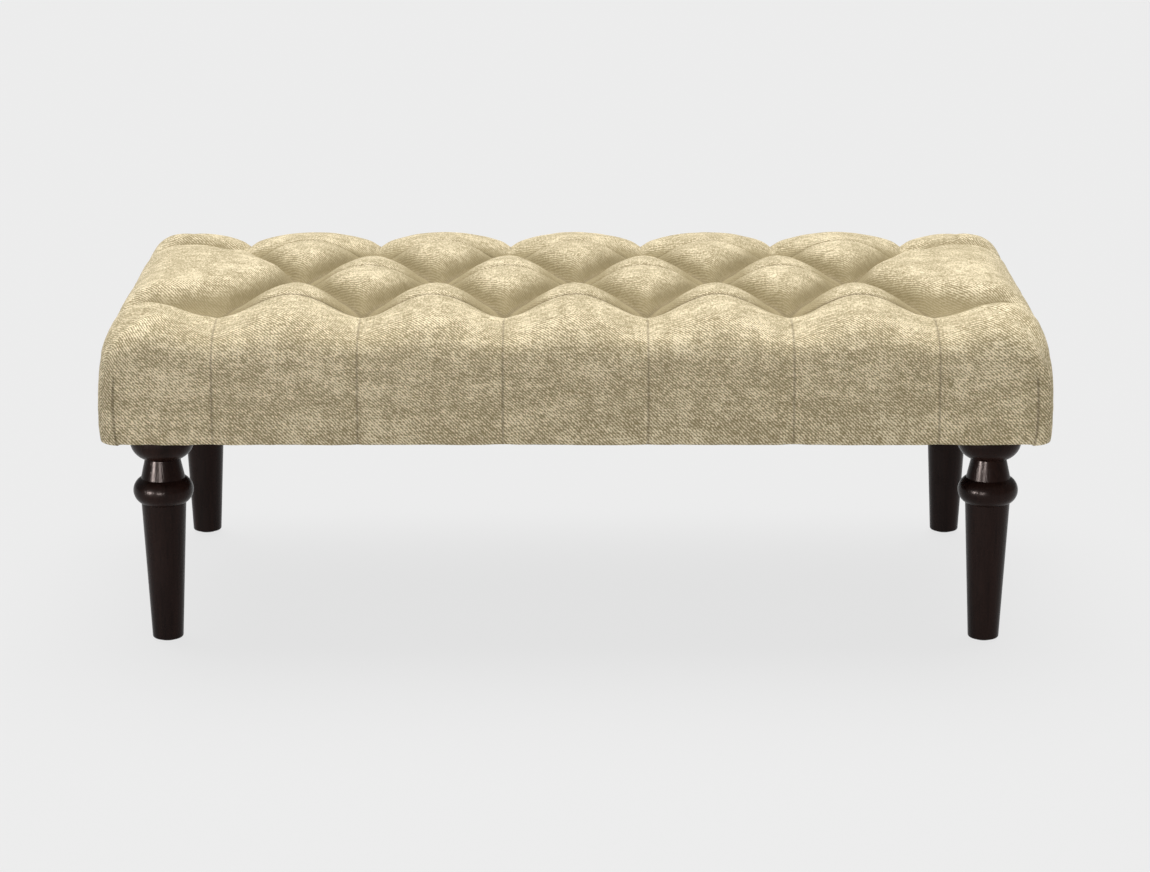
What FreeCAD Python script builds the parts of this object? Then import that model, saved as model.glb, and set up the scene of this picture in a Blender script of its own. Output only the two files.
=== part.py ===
import FreeCAD, Part
import math
import os
import Sketcher

# Tufted footstool: a box seat with a blind-tufted cloth cover on four turned legs.
# Millimetres, +X along the length, +Y to the back, +Z up, origin on the floor under the middle of the seat.

Vector = FreeCAD.Vector
doc = FreeCAD.newDocument("tufted_footstool")
sheet = doc.addObject("Spreadsheet::Sheet", "dims")

# Driving dimensions, each an aliased cell of the sheet.
DIMENSIONS = {
    "overall_width": 1168.0,
    "overall_depth": 610.0,
    "overall_height": 432.0,
    "leg_height": 270.0,
    "leg_inset_side": 72.0,
    "leg_inset_front": 69.0,
    "foot_radius": 19.3,
    "foot_rounding": 2.5,
    "shaft_radius": 27.7,
    "shaft_top": 178.0,
    "bead_round": 18.0,
    "bead_top": 210.0,
    "neck_low_radius": 27.3,
    "neck_high_radius": 21.8,
    "neck_top": 234.5,
    "bun_round": 24.6,
    "leg_top_radius": 36.6,
    "glide_radius": 13.0,
    "glide_thickness": 2.0,
    "glide_nail_radius": 1.5,
    "glide_nail_length": 16.0,
    "dust_cover_thickness": 1.0,
    "dust_cover_inset": 14.0,
    "dust_cover_corner": 12.0,
    "cloth_thickness": 2.0,
    "hem_inset": 40.0,
    "wadding_thickness": 8.0,
    "soft_clearance": 0.3,
    "tuft_margin": 141.5,
    "tuft_columns": 6.0,
    "tuft_depth": 36.0,
    "tuft_pit_length": 20.0,
    "fold_depth": 19.0,
    "dome_power": 2.6,
    "edge_radius": 60.0,
    "edge_inset": 3.0,
    "bulge_height": 308.0,
    "hem_draw_in": 5.0,
    "pleat_edge_depth": 21.0,
    "pleat_side_depth": 5.0,
    "pleat_hem_depth": 2.0,
    "corner_radius": 20.0,
    "corner_top_radius": 55.0,
    "corner_drop": 6.0,
    "corner_reach": 110.0,
    "frame_inset": 20.0,
    "rail_thickness": 22.0,
    "rail_height": 60.0,
    "brace_offset": 221.0,
    "brace_height": 45.0,
    "deck_thickness": 12.0,
    "twine_radius": 1.2,
    "twine_hole_radius": 2.0,
    "knot_radius": 3.0,
    "knot_height": 4.0,
    "deck_hole_radius": 4.0,
    "anchor_radius": 12.5,
    "anchor_thickness": 3.0,
    "block_leg": 130.0,
    "block_land": 28.0,
    "block_land_length": 40.0,
    "block_height": 45.0,
    "block_bore_radius": 8.0,
    "plate_width": 54.0,
    "plate_thickness": 2.0,
    "plate_corner": 6.0,
    "collar_radius": 7.0,
    "collar_height": 8.0,
    "bolt_radius": 4.0,
    "bolt_in_leg": 38.0,
    "bolt_above": 22.0,
    "bolt_tip": 5.0,
    "bolt_chamfer": 1.0,
    "dowel_radius": 4.0,
    "dowel_length": 40.0,
    "dowel_chamfer": 1.0,
    "dowel_in_long_rail": 15.0,
    "dowel_low": 15.0,
    "dowel_high": 45.0,
    "screw_radius": 2.0,
    "deck_screw_length": 35.0,
    "deck_screw_spacing": 200.0,
    "deck_screw_side_spacing": 120.0,
    "block_screw_length": 45.0,
    "block_screw_low": 12.0,
    "block_screw_high": 33.0,
    "brace_screw_length": 60.0,
    "brace_screw_low": 27.0,
    "brace_screw_high": 48.0,
    "plate_screw_length": 16.0,
    "plate_screw_offset": 20.0,
    "staple_crown": 10.0,
    "staple_leg": 8.0,
    "staple_wire": 0.6,
    "staple_width": 1.2,
    "staple_pitch": 75.0,
    "hem_staple_inset": 35.0,
    "dust_staple_inset": 26.0,
}
for row, (alias, number) in enumerate(DIMENSIONS.items(), start=1):
    sheet.set(f"A{row}", alias)
    sheet.set(f"B{row}", str(number))
    sheet.setAlias(f"B{row}", alias)
doc.recompute()


class Size:
    """A length that carries its number and the sheet expression it comes from."""

    def __init__(self, number, text):
        self.number = number
        self.text = text

    def __add__(self, other):
        other = as_size(other)
        return Size(self.number + other.number, f"({self.text} + {other.text})")

    def __sub__(self, other):
        other = as_size(other)
        return Size(self.number - other.number, f"({self.text} - {other.text})")

    def __mul__(self, factor):
        return Size(self.number * factor, f"({self.text} * {factor})")

    def __neg__(self):
        return self * -1


def as_size(length):
    return length if isinstance(length, Size) else Size(float(length), repr(float(length)))


def dim(alias):
    """The sheet's cell of this name as a Size."""
    return Size(float(getattr(sheet, alias)), f"dims.{alias}")


def num(alias):
    """The sheet's cell of this name as a plain number."""
    return dim(alias).number


def bind(owner, path, size):
    owner.setExpression(path, as_size(size).text)


def place(owner, x, y, z):
    bind(owner, "Placement.Base.x", x)
    bind(owner, "Placement.Base.y", y)
    bind(owner, "Placement.Base.z", z)


HALF_WIDTH = dim("overall_width") * 0.5
HALF_DEPTH = dim("overall_depth") * 0.5
HEM_BOTTOM = dim("leg_height") + dim("dust_cover_thickness")
FRAME_BOTTOM = HEM_BOTTOM + dim("cloth_thickness")
FRAME_TOP = FRAME_BOTTOM + dim("rail_height")
DECK_TOP = FRAME_TOP + dim("deck_thickness")
RAIL_INNER_X = HALF_WIDTH - dim("frame_inset") - dim("rail_thickness")
RAIL_INNER_Y = HALF_DEPTH - dim("frame_inset") - dim("rail_thickness")

# The four corners: name, side of X, side of Y.
CORNERS = [
    ("front_left", -1, -1),
    ("front_right", 1, -1),
    ("rear_left", -1, 1),
    ("rear_right", 1, 1),
]
LEG_X = HALF_WIDTH - dim("leg_inset_side")
LEG_Y = HALF_DEPTH - dim("leg_inset_front")

nodes = []


def keep(label, owner):
    """Marks a document object as a finished piece of the footstool."""
    owner.Label = label
    nodes.append(owner)
    return owner


# Sketches and bodies

def origin_plane(body, role):
    return next(feature for feature in body.Origin.OriginFeatures if feature.Role == role)


def new_sketch(body, role, name):
    sketch = body.newObject("Sketcher::SketchObject", name)
    sketch.AttachmentSupport = [(origin_plane(body, role), "")]
    sketch.MapMode = "FlatFace"
    return sketch


def pin(sketch, geometry, position, x, y):
    """Holds a sketch point at x, y from the origin, each bound to its expression."""
    for kind, axis, size in (("DistanceX", -2, as_size(x)), ("DistanceY", -1, as_size(y))):
        if size.number == 0:
            sketch.addConstraint(Sketcher.Constraint("PointOnObject", geometry, position, axis))
        else:
            index = sketch.addConstraint(Sketcher.Constraint(kind, -1, 1, geometry, position, size.number))
            sketch.setExpression(f"Constraints[{index}]", size.text)


def draw_outline(sketch, points, rounds=None):
    """A closed outline; rounds gives a side's arc radius, bulging to the right of the way round."""
    rounds = rounds or {}
    places = [Vector(as_size(x).number, as_size(y).number, 0) for x, y in points]
    first = sketch.GeometryCount
    count = len(points)
    for i in range(count):
        start, end = places[i], places[(i + 1) % count]
        if i in rounds:
            chord = end - start
            outward = Vector(chord.y, -chord.x, 0).normalize()
            reach = math.sqrt(rounds[i].number ** 2 - (chord.Length / 2) ** 2)
            crown = (start + end) * 0.5 + outward * (rounds[i].number - reach)
            sketch.addGeometry(Part.Arc(start, crown, end))
        else:
            sketch.addGeometry(Part.LineSegment(start, end))
    for i in range(count):
        following = first + (i + 1) % count
        sketch.addConstraint(Sketcher.Constraint("Coincident", first + i, 2, following, 1))
    for i, (x, y) in enumerate(points):
        pin(sketch, first + i, 1, x, y)
    for i, radius in rounds.items():
        index = sketch.addConstraint(Sketcher.Constraint("Radius", first + i, radius.number))
        sketch.setExpression(f"Constraints[{index}]", radius.text)


def draw_circle(sketch, x, y, radius):
    centre = Vector(as_size(x).number, as_size(y).number, 0)
    index = sketch.addGeometry(Part.Circle(centre, Vector(0, 0, 1), radius.number))
    pin(sketch, index, 3, x, y)
    datum = sketch.addConstraint(Sketcher.Constraint("Radius", index, radius.number))
    sketch.setExpression(f"Constraints[{datum}]", radius.text)


def draw_rectangle(sketch, x_low, x_high, y_low, y_high):
    draw_outline(sketch, [(x_low, y_low), (x_high, y_low), (x_high, y_high), (x_low, y_high)])


def new_body(name):
    return doc.addObject("PartDesign::Body", name)


def pad(body, sketch, height):
    feature = body.newObject("PartDesign::Pad", f"{body.Name}_pad")
    feature.Profile = sketch
    bind(feature, "Length", height)
    doc.recompute()
    return feature


def round_upright_edges(body, base, radius):
    """Fillets the vertical edges of a padded plate."""
    edges = [f"Edge{i}" for i, edge in enumerate(base.Shape.Edges, start=1)
             if abs(edge.tangentAt(edge.FirstParameter).z) > 0.99]
    fillet = body.newObject("PartDesign::Fillet", f"{body.Name}_fillet")
    fillet.Base = (base, edges)
    bind(fillet, "Radius", radius)
    doc.recompute()
    return fillet


def turned_body(name, points, rounds=None):
    """A piece turned about its own upright axis from a half outline of radius and height."""
    body = new_body(name)
    sketch = new_sketch(body, "XZ_Plane", f"{name}_outline")
    draw_outline(sketch, points, rounds)
    turning = body.newObject("PartDesign::Revolution", f"{name}_turning")
    turning.Profile = sketch
    turning.ReferenceAxis = (sketch, ["V_Axis"])
    turning.Angle = 360
    doc.recompute()
    return body


def box(name, corner, lengths):
    """A plain board from its low corner and its three lengths."""
    board = doc.addObject("Part::Box", name)
    for path, length in zip(("Length", "Width", "Height"), lengths):
        bind(board, path, length)
    place(board, *corner)
    doc.recompute()
    return board


def drilled(label, blank, fittings):
    """The blank with a seat cut for every fitting that goes into it."""
    tool = doc.addObject("Part::Compound", f"{label}_fittings")
    tool.Links = fittings
    cut = doc.addObject("Part::Cut", f"{label}_drilled")
    cut.Base = blank
    cut.Tool = tool
    doc.recompute()
    return keep(label, cut)


# Fasteners

def turned_solid(points):
    """A small solid turned about Z from radius and height points that start and end on the axis."""
    loop = [Vector(radius, 0, height) for radius, height in points]
    face = Part.Face(Part.makePolygon(loop + loop[:1]))
    return face.revolve(Vector(), Vector(0, 0, 1), 360)


def wood_screw(length):
    """A countersunk screw that hangs from the origin down -Z, its head flush at the origin."""
    shank_radius = num("screw_radius")
    head_radius = shank_radius * 2
    head_height = head_radius - shank_radius
    tip_height = shank_radius * 2
    return turned_solid([(0, 0), (head_radius, 0), (shank_radius, -head_height),
                         (shank_radius, tip_height - length), (0, -length)])


def facing(solid, point, direction):
    """A copy of a -Z solid, moved to the point and turned to run along the direction."""
    turned = solid.copy()
    turned.Placement = FreeCAD.Placement(point, FreeCAD.Rotation(Vector(0, 0, -1), direction))
    return turned


def group(label, solids):
    """Several identical small pieces in one node."""
    feature = doc.addObject("Part::Feature", f"{label}_group")
    feature.Shape = Part.Compound(solids)
    feature.Placement = FreeCAD.Placement()
    return keep(label, feature)


def corner_point(x_side, y_side, in_x, in_y, height):
    """A point measured inward from a corner between the inner faces of two rails."""
    return Vector(x_side * (RAIL_INNER_X.number - in_x), y_side * (RAIL_INNER_Y.number - in_y), height)


DOWN = Vector(0, 0, -1)
UP = Vector(0, 0, 1)


def deck_screws():
    screw = wood_screw(num("deck_screw_length"))
    rail_x = RAIL_INNER_X.number + num("rail_thickness") / 2
    rail_y = RAIL_INNER_Y.number + num("rail_thickness") / 2
    top = DECK_TOP.number
    solids = []
    for side in (-1, 1):
        for step in (-2.5, -1.5, -0.5, 0.5, 1.5, 2.5):
            solids.append(facing(screw, Vector(step * num("deck_screw_spacing"), side * rail_y, top), DOWN))
        for step in (-1, 0, 1):
            y = step * num("deck_screw_side_spacing")
            solids.append(facing(screw, Vector(side * rail_x, y, top), DOWN))
            solids.append(facing(screw, Vector(side * num("brace_offset"), y, top), DOWN))
    return group("deck_screws", solids)


def rail_dowels():
    radius = num("dowel_radius")
    length = num("dowel_length")
    chamfer = num("dowel_chamfer")
    dowel = turned_solid([(0, 0), (radius - chamfer, 0), (radius, -chamfer), (radius, chamfer - length),
                          (radius - chamfer, -length), (0, -length)])
    rail_x = RAIL_INNER_X.number + num("rail_thickness") / 2
    start_y = RAIL_INNER_Y.number + num("dowel_in_long_rail")
    solids = []
    for name, x_side, y_side in CORNERS:
        for height in ("dowel_low", "dowel_high"):
            point = Vector(x_side * rail_x, y_side * start_y, FRAME_BOTTOM.number + num(height))
            solids.append(facing(dowel, point, Vector(0, -y_side, 0)))
    return group("rail_dowels", solids)


def corner_block_screws():
    screw = wood_screw(num("block_screw_length"))
    along = num("block_leg") - num("block_land_length") / 2
    land = num("block_land")
    solids = []
    for name, x_side, y_side in CORNERS:
        for height in ("block_screw_low", "block_screw_high"):
            level = FRAME_BOTTOM.number + num(height)
            to_long_rail = corner_point(x_side, y_side, along, land, level)
            to_short_rail = corner_point(x_side, y_side, land, along, level)
            solids.append(facing(screw, to_long_rail, Vector(0, y_side, 0)))
            solids.append(facing(screw, to_short_rail, Vector(x_side, 0, 0)))
    return group("corner_block_screws", solids)


def brace_screws():
    screw = wood_screw(num("brace_screw_length"))
    outer_y = RAIL_INNER_Y.number + num("rail_thickness")
    solids = []
    for x_side in (-1, 1):
        for y_side in (-1, 1):
            for height in ("brace_screw_low", "brace_screw_high"):
                level = FRAME_BOTTOM.number + num(height)
                point = Vector(x_side * num("brace_offset"), y_side * outer_y, level)
                solids.append(facing(screw, point, Vector(0, -y_side, 0)))
    return group("brace_screws", solids)


def leg_plate_screws():
    screw = wood_screw(num("plate_screw_length"))
    offset = num("plate_screw_offset")
    solids = []
    for name, x_side, y_side in CORNERS:
        for x_step in (-1, 1):
            for y_step in (-1, 1):
                point = Vector(x_side * LEG_X.number + x_step * offset,
                               y_side * LEG_Y.number + y_step * offset, HEM_BOTTOM.number)
                solids.append(facing(screw, point, UP))
    return group("leg_plate_screws", solids)


def staple_row(label, inset, crown_top):
    """Staples driven up round the underside at one inset from the outermost outline."""
    half_crown = num("staple_crown") / 2
    wire = num("staple_wire")
    rise = num("staple_leg")
    inner = half_crown - wire
    outline = [(-half_crown, 0), (half_crown, 0), (half_crown, rise), (inner, rise),
               (inner, wire), (-inner, wire), (-inner, rise), (-half_crown, rise)]
    corners = [Vector(x, -num("staple_width") / 2, z - wire) for x, z in outline]
    staple = Part.Face(Part.makePolygon(corners + corners[:1])).extrude(Vector(0, num("staple_width"), 0))
    half_x = HALF_WIDTH.number - inset
    half_y = HALF_DEPTH.number - inset
    solids = []
    for half_run, offset, turn in ((half_x, half_y, 0), (half_y, half_x, 90)):
        count = int(2 * half_run // num("staple_pitch"))
        pitch = 2 * half_run / count
        for side in (-1, 1):
            for i in range(count):
                along = -half_run + (i + 0.5) * pitch
                spot = (along, side * offset) if turn == 0 else (side * offset, along)
                solid = staple.copy()
                solid.Placement = FreeCAD.Placement(Vector(spot[0], spot[1], crown_top),
                                                    FreeCAD.Rotation(UP, turn))
                solids.append(solid)
    return group(label, solids)


# Legs and what holds them

def leg_glide(name, x, y):
    radius = dim("glide_radius")
    top = dim("glide_thickness")
    nail = dim("glide_nail_radius")
    points = [(0, 0), (radius - top * 0.5, 0), (radius, top * 0.5), (radius, top), (nail, top),
              (nail, top + dim("glide_nail_length")), (0, top + dim("glide_nail_length") + nail)]
    glide = turned_body(f"{name}_glide_body", points)
    place(glide, x, y, 0)
    return keep(f"{name}_foot_glide", glide)


def hanger_bolt(name, x, y):
    radius = dim("bolt_radius")
    low = dim("leg_height") - dim("bolt_in_leg")
    high = dim("leg_height") + dim("bolt_above")
    points = [(0, low), (radius, low + dim("bolt_tip")), (radius, high - dim("bolt_chamfer")),
              (radius - dim("bolt_chamfer"), high), (0, high)]
    bolt = turned_body(f"{name}_bolt_body", points)
    place(bolt, x, y, 0)
    return keep(f"{name}_hanger_bolt", bolt)


def turned_leg(name, x, y, fittings):
    floor = dim("glide_thickness")
    rounding = dim("foot_rounding")
    points = [
        (0, floor),
        (dim("foot_radius") - rounding, floor),
        (dim("foot_radius"), floor + rounding),
        (dim("shaft_radius"), dim("shaft_top")),
        (dim("neck_low_radius"), dim("bead_top")),
        (dim("neck_high_radius"), dim("neck_top")),
        (dim("leg_top_radius"), dim("leg_height")),
        (0, dim("leg_height")),
    ]
    rounds = {1: rounding, 3: dim("bead_round"), 5: dim("bun_round")}
    leg = turned_body(f"{name}_leg_body", points, rounds)
    place(leg, x, y, 0)
    return drilled(f"{name}_leg", leg, fittings)


def leg_plate(name, x, y, fittings):
    body = new_body(f"{name}_plate_body")
    half = dim("plate_width") * 0.5
    sketch = new_sketch(body, "XY_Plane", f"{name}_plate_outline")
    draw_rectangle(sketch, -half, half, -half, half)
    plate = pad(body, sketch, dim("plate_thickness"))
    round_upright_edges(body, plate, dim("plate_corner"))
    collar_sketch = new_sketch(body, "XY_Plane", f"{name}_collar_outline")
    draw_circle(collar_sketch, 0, 0, dim("collar_radius"))
    pad(body, collar_sketch, dim("plate_thickness") + dim("collar_height"))
    place(body, x, y, HEM_BOTTOM)
    return drilled(f"{name}_leg_plate", body, fittings)


def corner_block(name, x_side, y_side, fittings):
    body = new_body(f"{name}_block_body")
    sketch = new_sketch(body, "XY_Plane", f"{name}_block_outline")
    leg = dim("block_leg")
    land = dim("block_land")
    shoulder = leg - dim("block_land_length")
    inward = [(0, 0), (leg, 0), (leg, land), (shoulder, land), (land, shoulder), (land, leg), (0, leg)]
    draw_outline(sketch, [(as_size(x) * -x_side, as_size(y) * -y_side) for x, y in inward])
    draw_circle(sketch, (LEG_X - RAIL_INNER_X) * x_side, (LEG_Y - RAIL_INNER_Y) * y_side,
                dim("block_bore_radius"))
    pad(body, sketch, dim("block_height"))
    place(body, RAIL_INNER_X * x_side, RAIL_INNER_Y * y_side, FRAME_BOTTOM)
    return drilled(f"{name}_corner_block", body, fittings)


# Frame and deck

def long_rail(label, y_side, fittings):
    thickness = dim("rail_thickness")
    length = dim("overall_width") - dim("frame_inset") * 2
    low_y = RAIL_INNER_Y if y_side > 0 else -(RAIL_INNER_Y + thickness)
    blank = box(f"{label}_blank", (length * -0.5, low_y, FRAME_BOTTOM),
                (length, thickness, dim("rail_height")))
    return drilled(label, blank, fittings)


def short_rail(label, x_side, fittings):
    thickness = dim("rail_thickness")
    low_x = RAIL_INNER_X if x_side > 0 else -(RAIL_INNER_X + thickness)
    blank = box(f"{label}_blank", (low_x, -RAIL_INNER_Y, FRAME_BOTTOM),
                (thickness, RAIL_INNER_Y * 2, dim("rail_height")))
    return drilled(label, blank, fittings)


def cross_brace(label, x_side, fittings):
    thickness = dim("rail_thickness")
    low_x = dim("brace_offset") * x_side - thickness * 0.5
    blank = box(f"{label}_blank", (low_x, -RAIL_INNER_Y, FRAME_TOP - dim("brace_height")),
                (thickness, RAIL_INNER_Y * 2, dim("brace_height")))
    return drilled(label, blank, fittings)


TUFT_PITCH = (num("overall_width") - 2 * num("tuft_margin")) / (num("tuft_columns") - 1)
ROW_Y = HALF_DEPTH.number - num("tuft_margin")
OUTER_TUFT_X = HALF_WIDTH.number - num("tuft_margin")
COLUMN_COUNT = int(num("tuft_columns"))
OUTER_ROW_X = [-OUTER_TUFT_X + i * TUFT_PITCH for i in range(COLUMN_COUNT)]
MIDDLE_ROW_X = [-OUTER_TUFT_X + (i + 0.5) * TUFT_PITCH for i in range(COLUMN_COUNT - 1)]
TUFTS = ([(x, -ROW_Y) for x in OUTER_ROW_X] + [(x, 0.0) for x in MIDDLE_ROW_X]
         + [(x, ROW_Y) for x in OUTER_ROW_X])


def seat_deck(fittings):
    body = new_body("seat_deck_body")
    sketch = new_sketch(body, "XY_Plane", "seat_deck_outline")
    half_x = HALF_WIDTH - dim("frame_inset")
    half_y = HALF_DEPTH - dim("frame_inset")
    draw_rectangle(sketch, -half_x, half_x, -half_y, half_y)
    first_x = HALF_WIDTH - dim("tuft_margin")
    row_y = HALF_DEPTH - dim("tuft_margin")
    for row, half_steps in ((-1, 0), (0, 1), (1, 0)):
        for i in range(COLUMN_COUNT - half_steps):
            share = 1 - (2 * i + half_steps) / (COLUMN_COUNT - 1)
            x = first_x * -share if abs(share) > 1e-9 else 0
            draw_circle(sketch, x, row_y * row if row else 0, dim("deck_hole_radius"))
    pad(body, sketch, dim("deck_thickness"))
    place(body, 0, 0, FRAME_TOP)
    return drilled("seat_deck", body, fittings)


def dust_cover(fittings):
    body = new_body("dust_cover_body")
    sketch = new_sketch(body, "XY_Plane", "dust_cover_outline")
    half_x = HALF_WIDTH - dim("dust_cover_inset")
    half_y = HALF_DEPTH - dim("dust_cover_inset")
    draw_rectangle(sketch, -half_x, half_x, -half_y, half_y)
    cloth = pad(body, sketch, dim("dust_cover_thickness"))
    round_upright_edges(body, cloth, dim("dust_cover_corner"))
    place(body, 0, 0, dim("leg_height"))
    return drilled("dust_cover", body, fittings)


# Tufted form: domes between the tufts, folds along the diagonals, pleats over the edges

TOP_STEPS = 2
EDGE_STEPS = 4
FOLD_STEPS = 5
PLEAT_MID_BULGE = 0.35
CORNER_SHARE = 0.5


def side_inset(height):
    """How far the side stands in from the outermost outline: a bulge low down, drawn in at the hem."""
    bulge = num("bulge_height")
    if height < bulge:
        return num("hem_draw_in") * ((bulge - height) / (bulge - HEM_BOTTOM.number)) ** 2
    edge_start = num("overall_height") - num("edge_radius")
    return num("edge_inset") * ((height - bulge) / (edge_start - bulge)) ** 2


class Station:
    """One section of the edge: crest and pleat as inset and height, at a depth under the cloth."""

    def __init__(self, inset, height, angle, pleat, depth):
        self.out = math.cos(angle)
        self.rise = math.sin(angle)
        self.crest = (inset + depth * self.out, height - depth * self.rise)
        self.pleat = (self.crest[0] + pleat * self.out, self.crest[1] - pleat * self.rise)
        self.pleat_depth = pleat
        top_share = num("corner_top_radius") - num("corner_radius")
        self.corner = num("corner_radius") + top_share * self.rise - depth * self.out


def pitted(plateau, distance):
    """The depth of a fold that falls from its plateau into a tuft at this distance."""
    return plateau + (num("tuft_depth") - plateau) * math.exp(-distance / num("tuft_pit_length"))


def stations(depth, side_heights, pleat_depths):
    """Sections from the tuft line out to the edge, round it and down the side to the last height."""
    margin = num("tuft_margin")
    edge_start = num("edge_inset") + num("edge_radius")
    centre = num("overall_height") - num("edge_radius")
    side_depth = num("pleat_side_depth")
    edge_depth = num("pleat_edge_depth")
    found = []
    for step in range(TOP_STEPS):
        inset = margin + (edge_start - margin) * step / TOP_STEPS
        pleat = pitted(edge_depth, margin - inset)
        found.append(Station(inset, num("overall_height"), math.pi / 2, pleat, depth))
    for step in range(EDGE_STEPS + 1):
        angle = math.pi / 2 * (1 - step / EDGE_STEPS)
        inset = edge_start - num("edge_radius") * math.cos(angle)
        height = centre + num("edge_radius") * math.sin(angle)
        pleat = side_depth + (edge_depth - side_depth) * math.sin(angle) ** 2
        found.append(Station(inset, height, angle, pleat, depth))
    for height, pleat in zip(side_heights, pleat_depths):
        found.append(Station(side_inset(height), height, 0.0, pleat, depth))
    return found


def arc(start, middle, end):
    return Part.Arc(start, middle, end).toShape()


def strip(edges):
    """Ruled faces through a run of arcs."""
    return [Part.makeRuledSurface(edges[i], edges[i + 1]) for i in range(len(edges) - 1)]


def spread(tip, edge):
    """The three-sided face from a tuft to an arc."""
    return Part.makeLoft([Part.Vertex(tip), Part.Wire([edge])], False, True).Faces


def fan(tip, left, right, depth):
    """Half a dome, from the tuft at its tip to the arc between the tufts on either side."""
    top = num("overall_height") - depth
    low = top - num("tuft_depth")
    fold_length = math.hypot(left[0] - tip[0], left[1] - tip[1])
    arcs = []
    for step in range(1, FOLD_STEPS + 1):
        share = step / FOLD_STEPS
        fold = top - pitted(num("fold_depth"), fold_length * min(share, 1 - share))
        crest = top - num("tuft_depth") * (1 - share) ** num("dome_power")
        ends = [Vector(tip[0] + (end[0] - tip[0]) * share, tip[1] + (end[1] - tip[1]) * share, fold)
                for end in (left, right)]
        middle = (ends[0] + ends[1]) * 0.5
        middle.z = crest
        arcs.append(arc(ends[0], middle, ends[1]))
    return spread(Vector(tip[0], tip[1], low), arcs[0]) + strip(arcs)


def long_side(y_side, along, spot):
    inset, height = spot
    return Vector(along, y_side * (HALF_DEPTH.number - inset), height)


def short_side(x_side, along, spot):
    inset, height = spot
    return Vector(x_side * (HALF_WIDTH.number - inset), along, height)


def panel(side, side_sign, start, end, sections):
    """A side panel between two pleats; returns its faces and its lowest arc."""
    arcs = []
    for station in sections:
        middle = side(side_sign, (start + end) / 2, station.crest)
        arcs.append(arc(side(side_sign, start, station.pleat), middle, side(side_sign, end, station.pleat)))
    return strip(arcs), [arcs[-1]]


def corner_section(x_side, y_side, station, depth):
    """Three arcs from the pleat of the long side round the corner to the pleat of the short side."""
    inset, height = station.crest
    low = num("overall_height") - num("tuft_depth") - depth
    reach = min(1.0, (num("tuft_margin") - inset) / num("corner_reach"))
    height = low + (height - low) * (1 - (1 - reach) ** 2) - num("corner_drop") * station.rise * reach
    radius = min(station.corner, CORNER_SHARE * (num("tuft_margin") - inset))
    far_x = HALF_WIDTH.number - inset
    far_y = HALF_DEPTH.number - inset
    cut_back = radius * (1 - math.sqrt(0.5))
    on_long = Vector(x_side * (far_x - radius), y_side * far_y, height)
    on_short = Vector(x_side * far_x, y_side * (far_y - radius), height)
    on_corner = Vector(x_side * (far_x - cut_back), y_side * (far_y - cut_back), height)
    long_pleat = long_side(y_side, x_side * OUTER_TUFT_X, station.pleat)
    short_pleat = short_side(x_side, y_side * ROW_Y, station.pleat)
    swell = station.pleat_depth * PLEAT_MID_BULGE
    long_out = Vector(0, y_side * station.out, station.rise) * swell
    short_out = Vector(x_side * station.out, 0, station.rise) * swell
    return [
        arc(long_pleat, (long_pleat + on_long) * 0.5 + long_out, on_long),
        arc(on_long, on_corner, on_short),
        arc(on_short, (short_pleat + on_short) * 0.5 + short_out, short_pleat),
    ]


def corner_cell(x_side, y_side, sections, depth):
    """The panel that fans out from an outermost tuft round a corner of the seat."""
    tip = Vector(x_side * OUTER_TUFT_X, y_side * ROW_Y, num("overall_height") - num("tuft_depth") - depth)
    rings = [corner_section(x_side, y_side, station, depth) for station in sections[1:]]
    faces = []
    for column in range(3):
        arcs = [ring[column] for ring in rings]
        faces += spread(tip, arcs[0]) + strip(arcs)
    return faces, rings[-1]


def tufted_skin(depth, side_heights, pleat_depths):
    """The whole tufted surface at a depth under the cloth's face; returns faces and the lower rim."""
    sections = stations(depth, side_heights, pleat_depths)
    faces, rim = [], []
    last = len(MIDDLE_ROW_X) - 1
    for i, x in enumerate(MIDDLE_ROW_X):
        for y_side in (-1, 1):
            row_y = y_side * ROW_Y
            start, end = OUTER_ROW_X[i], OUTER_ROW_X[i + 1]
            faces += fan((x, 0.0), (start, row_y), (end, row_y), depth)
            side_faces, low_arcs = panel(long_side, y_side, start, end, sections)
            faces += side_faces
            rim += low_arcs
            if i < last:
                faces += fan((end, row_y), (x, 0.0), (MIDDLE_ROW_X[i + 1], 0.0), depth)
    for x_side in (-1, 1):
        tip = (x_side * abs(MIDDLE_ROW_X[0]), 0.0)
        outer_x = x_side * OUTER_TUFT_X
        faces += fan(tip, (outer_x, -ROW_Y), (outer_x, ROW_Y), depth)
        side_faces, low_arcs = panel(short_side, x_side, -ROW_Y, ROW_Y, sections)
        faces += side_faces
        rim += low_arcs
        for y_side in (-1, 1):
            cell_faces, low_arcs = corner_cell(x_side, y_side, sections, depth)
            faces += cell_faces
            rim += low_arcs
    return faces, Part.Wire(Part.__sortEdges__(rim))


def closed_solid(faces):
    """Sews faces that share their edges into one solid."""
    shell = Part.Compound(faces)
    shell.sewShape()
    solid = Part.Solid(shell.Shells[0])
    if solid.Volume < 0:
        solid.reverse()
    if len(shell.Shells) != 1 or not solid.isValid() or not solid.isClosed():
        raise RuntimeError("the tufted form did not close")
    return solid


def ring_face(outside, inside):
    """The flat face between two closed outlines."""
    return Part.makeFace([outside, inside], "Part::FaceMakerBullseye")


def rectangle_wire(inset, height):
    half_x = HALF_WIDTH.number - inset
    half_y = HALF_DEPTH.number - inset
    loop = [Vector(-half_x, -half_y, height), Vector(half_x, -half_y, height),
            Vector(half_x, half_y, height), Vector(-half_x, half_y, height)]
    return Part.makePolygon(loop + loop[:1])


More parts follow.
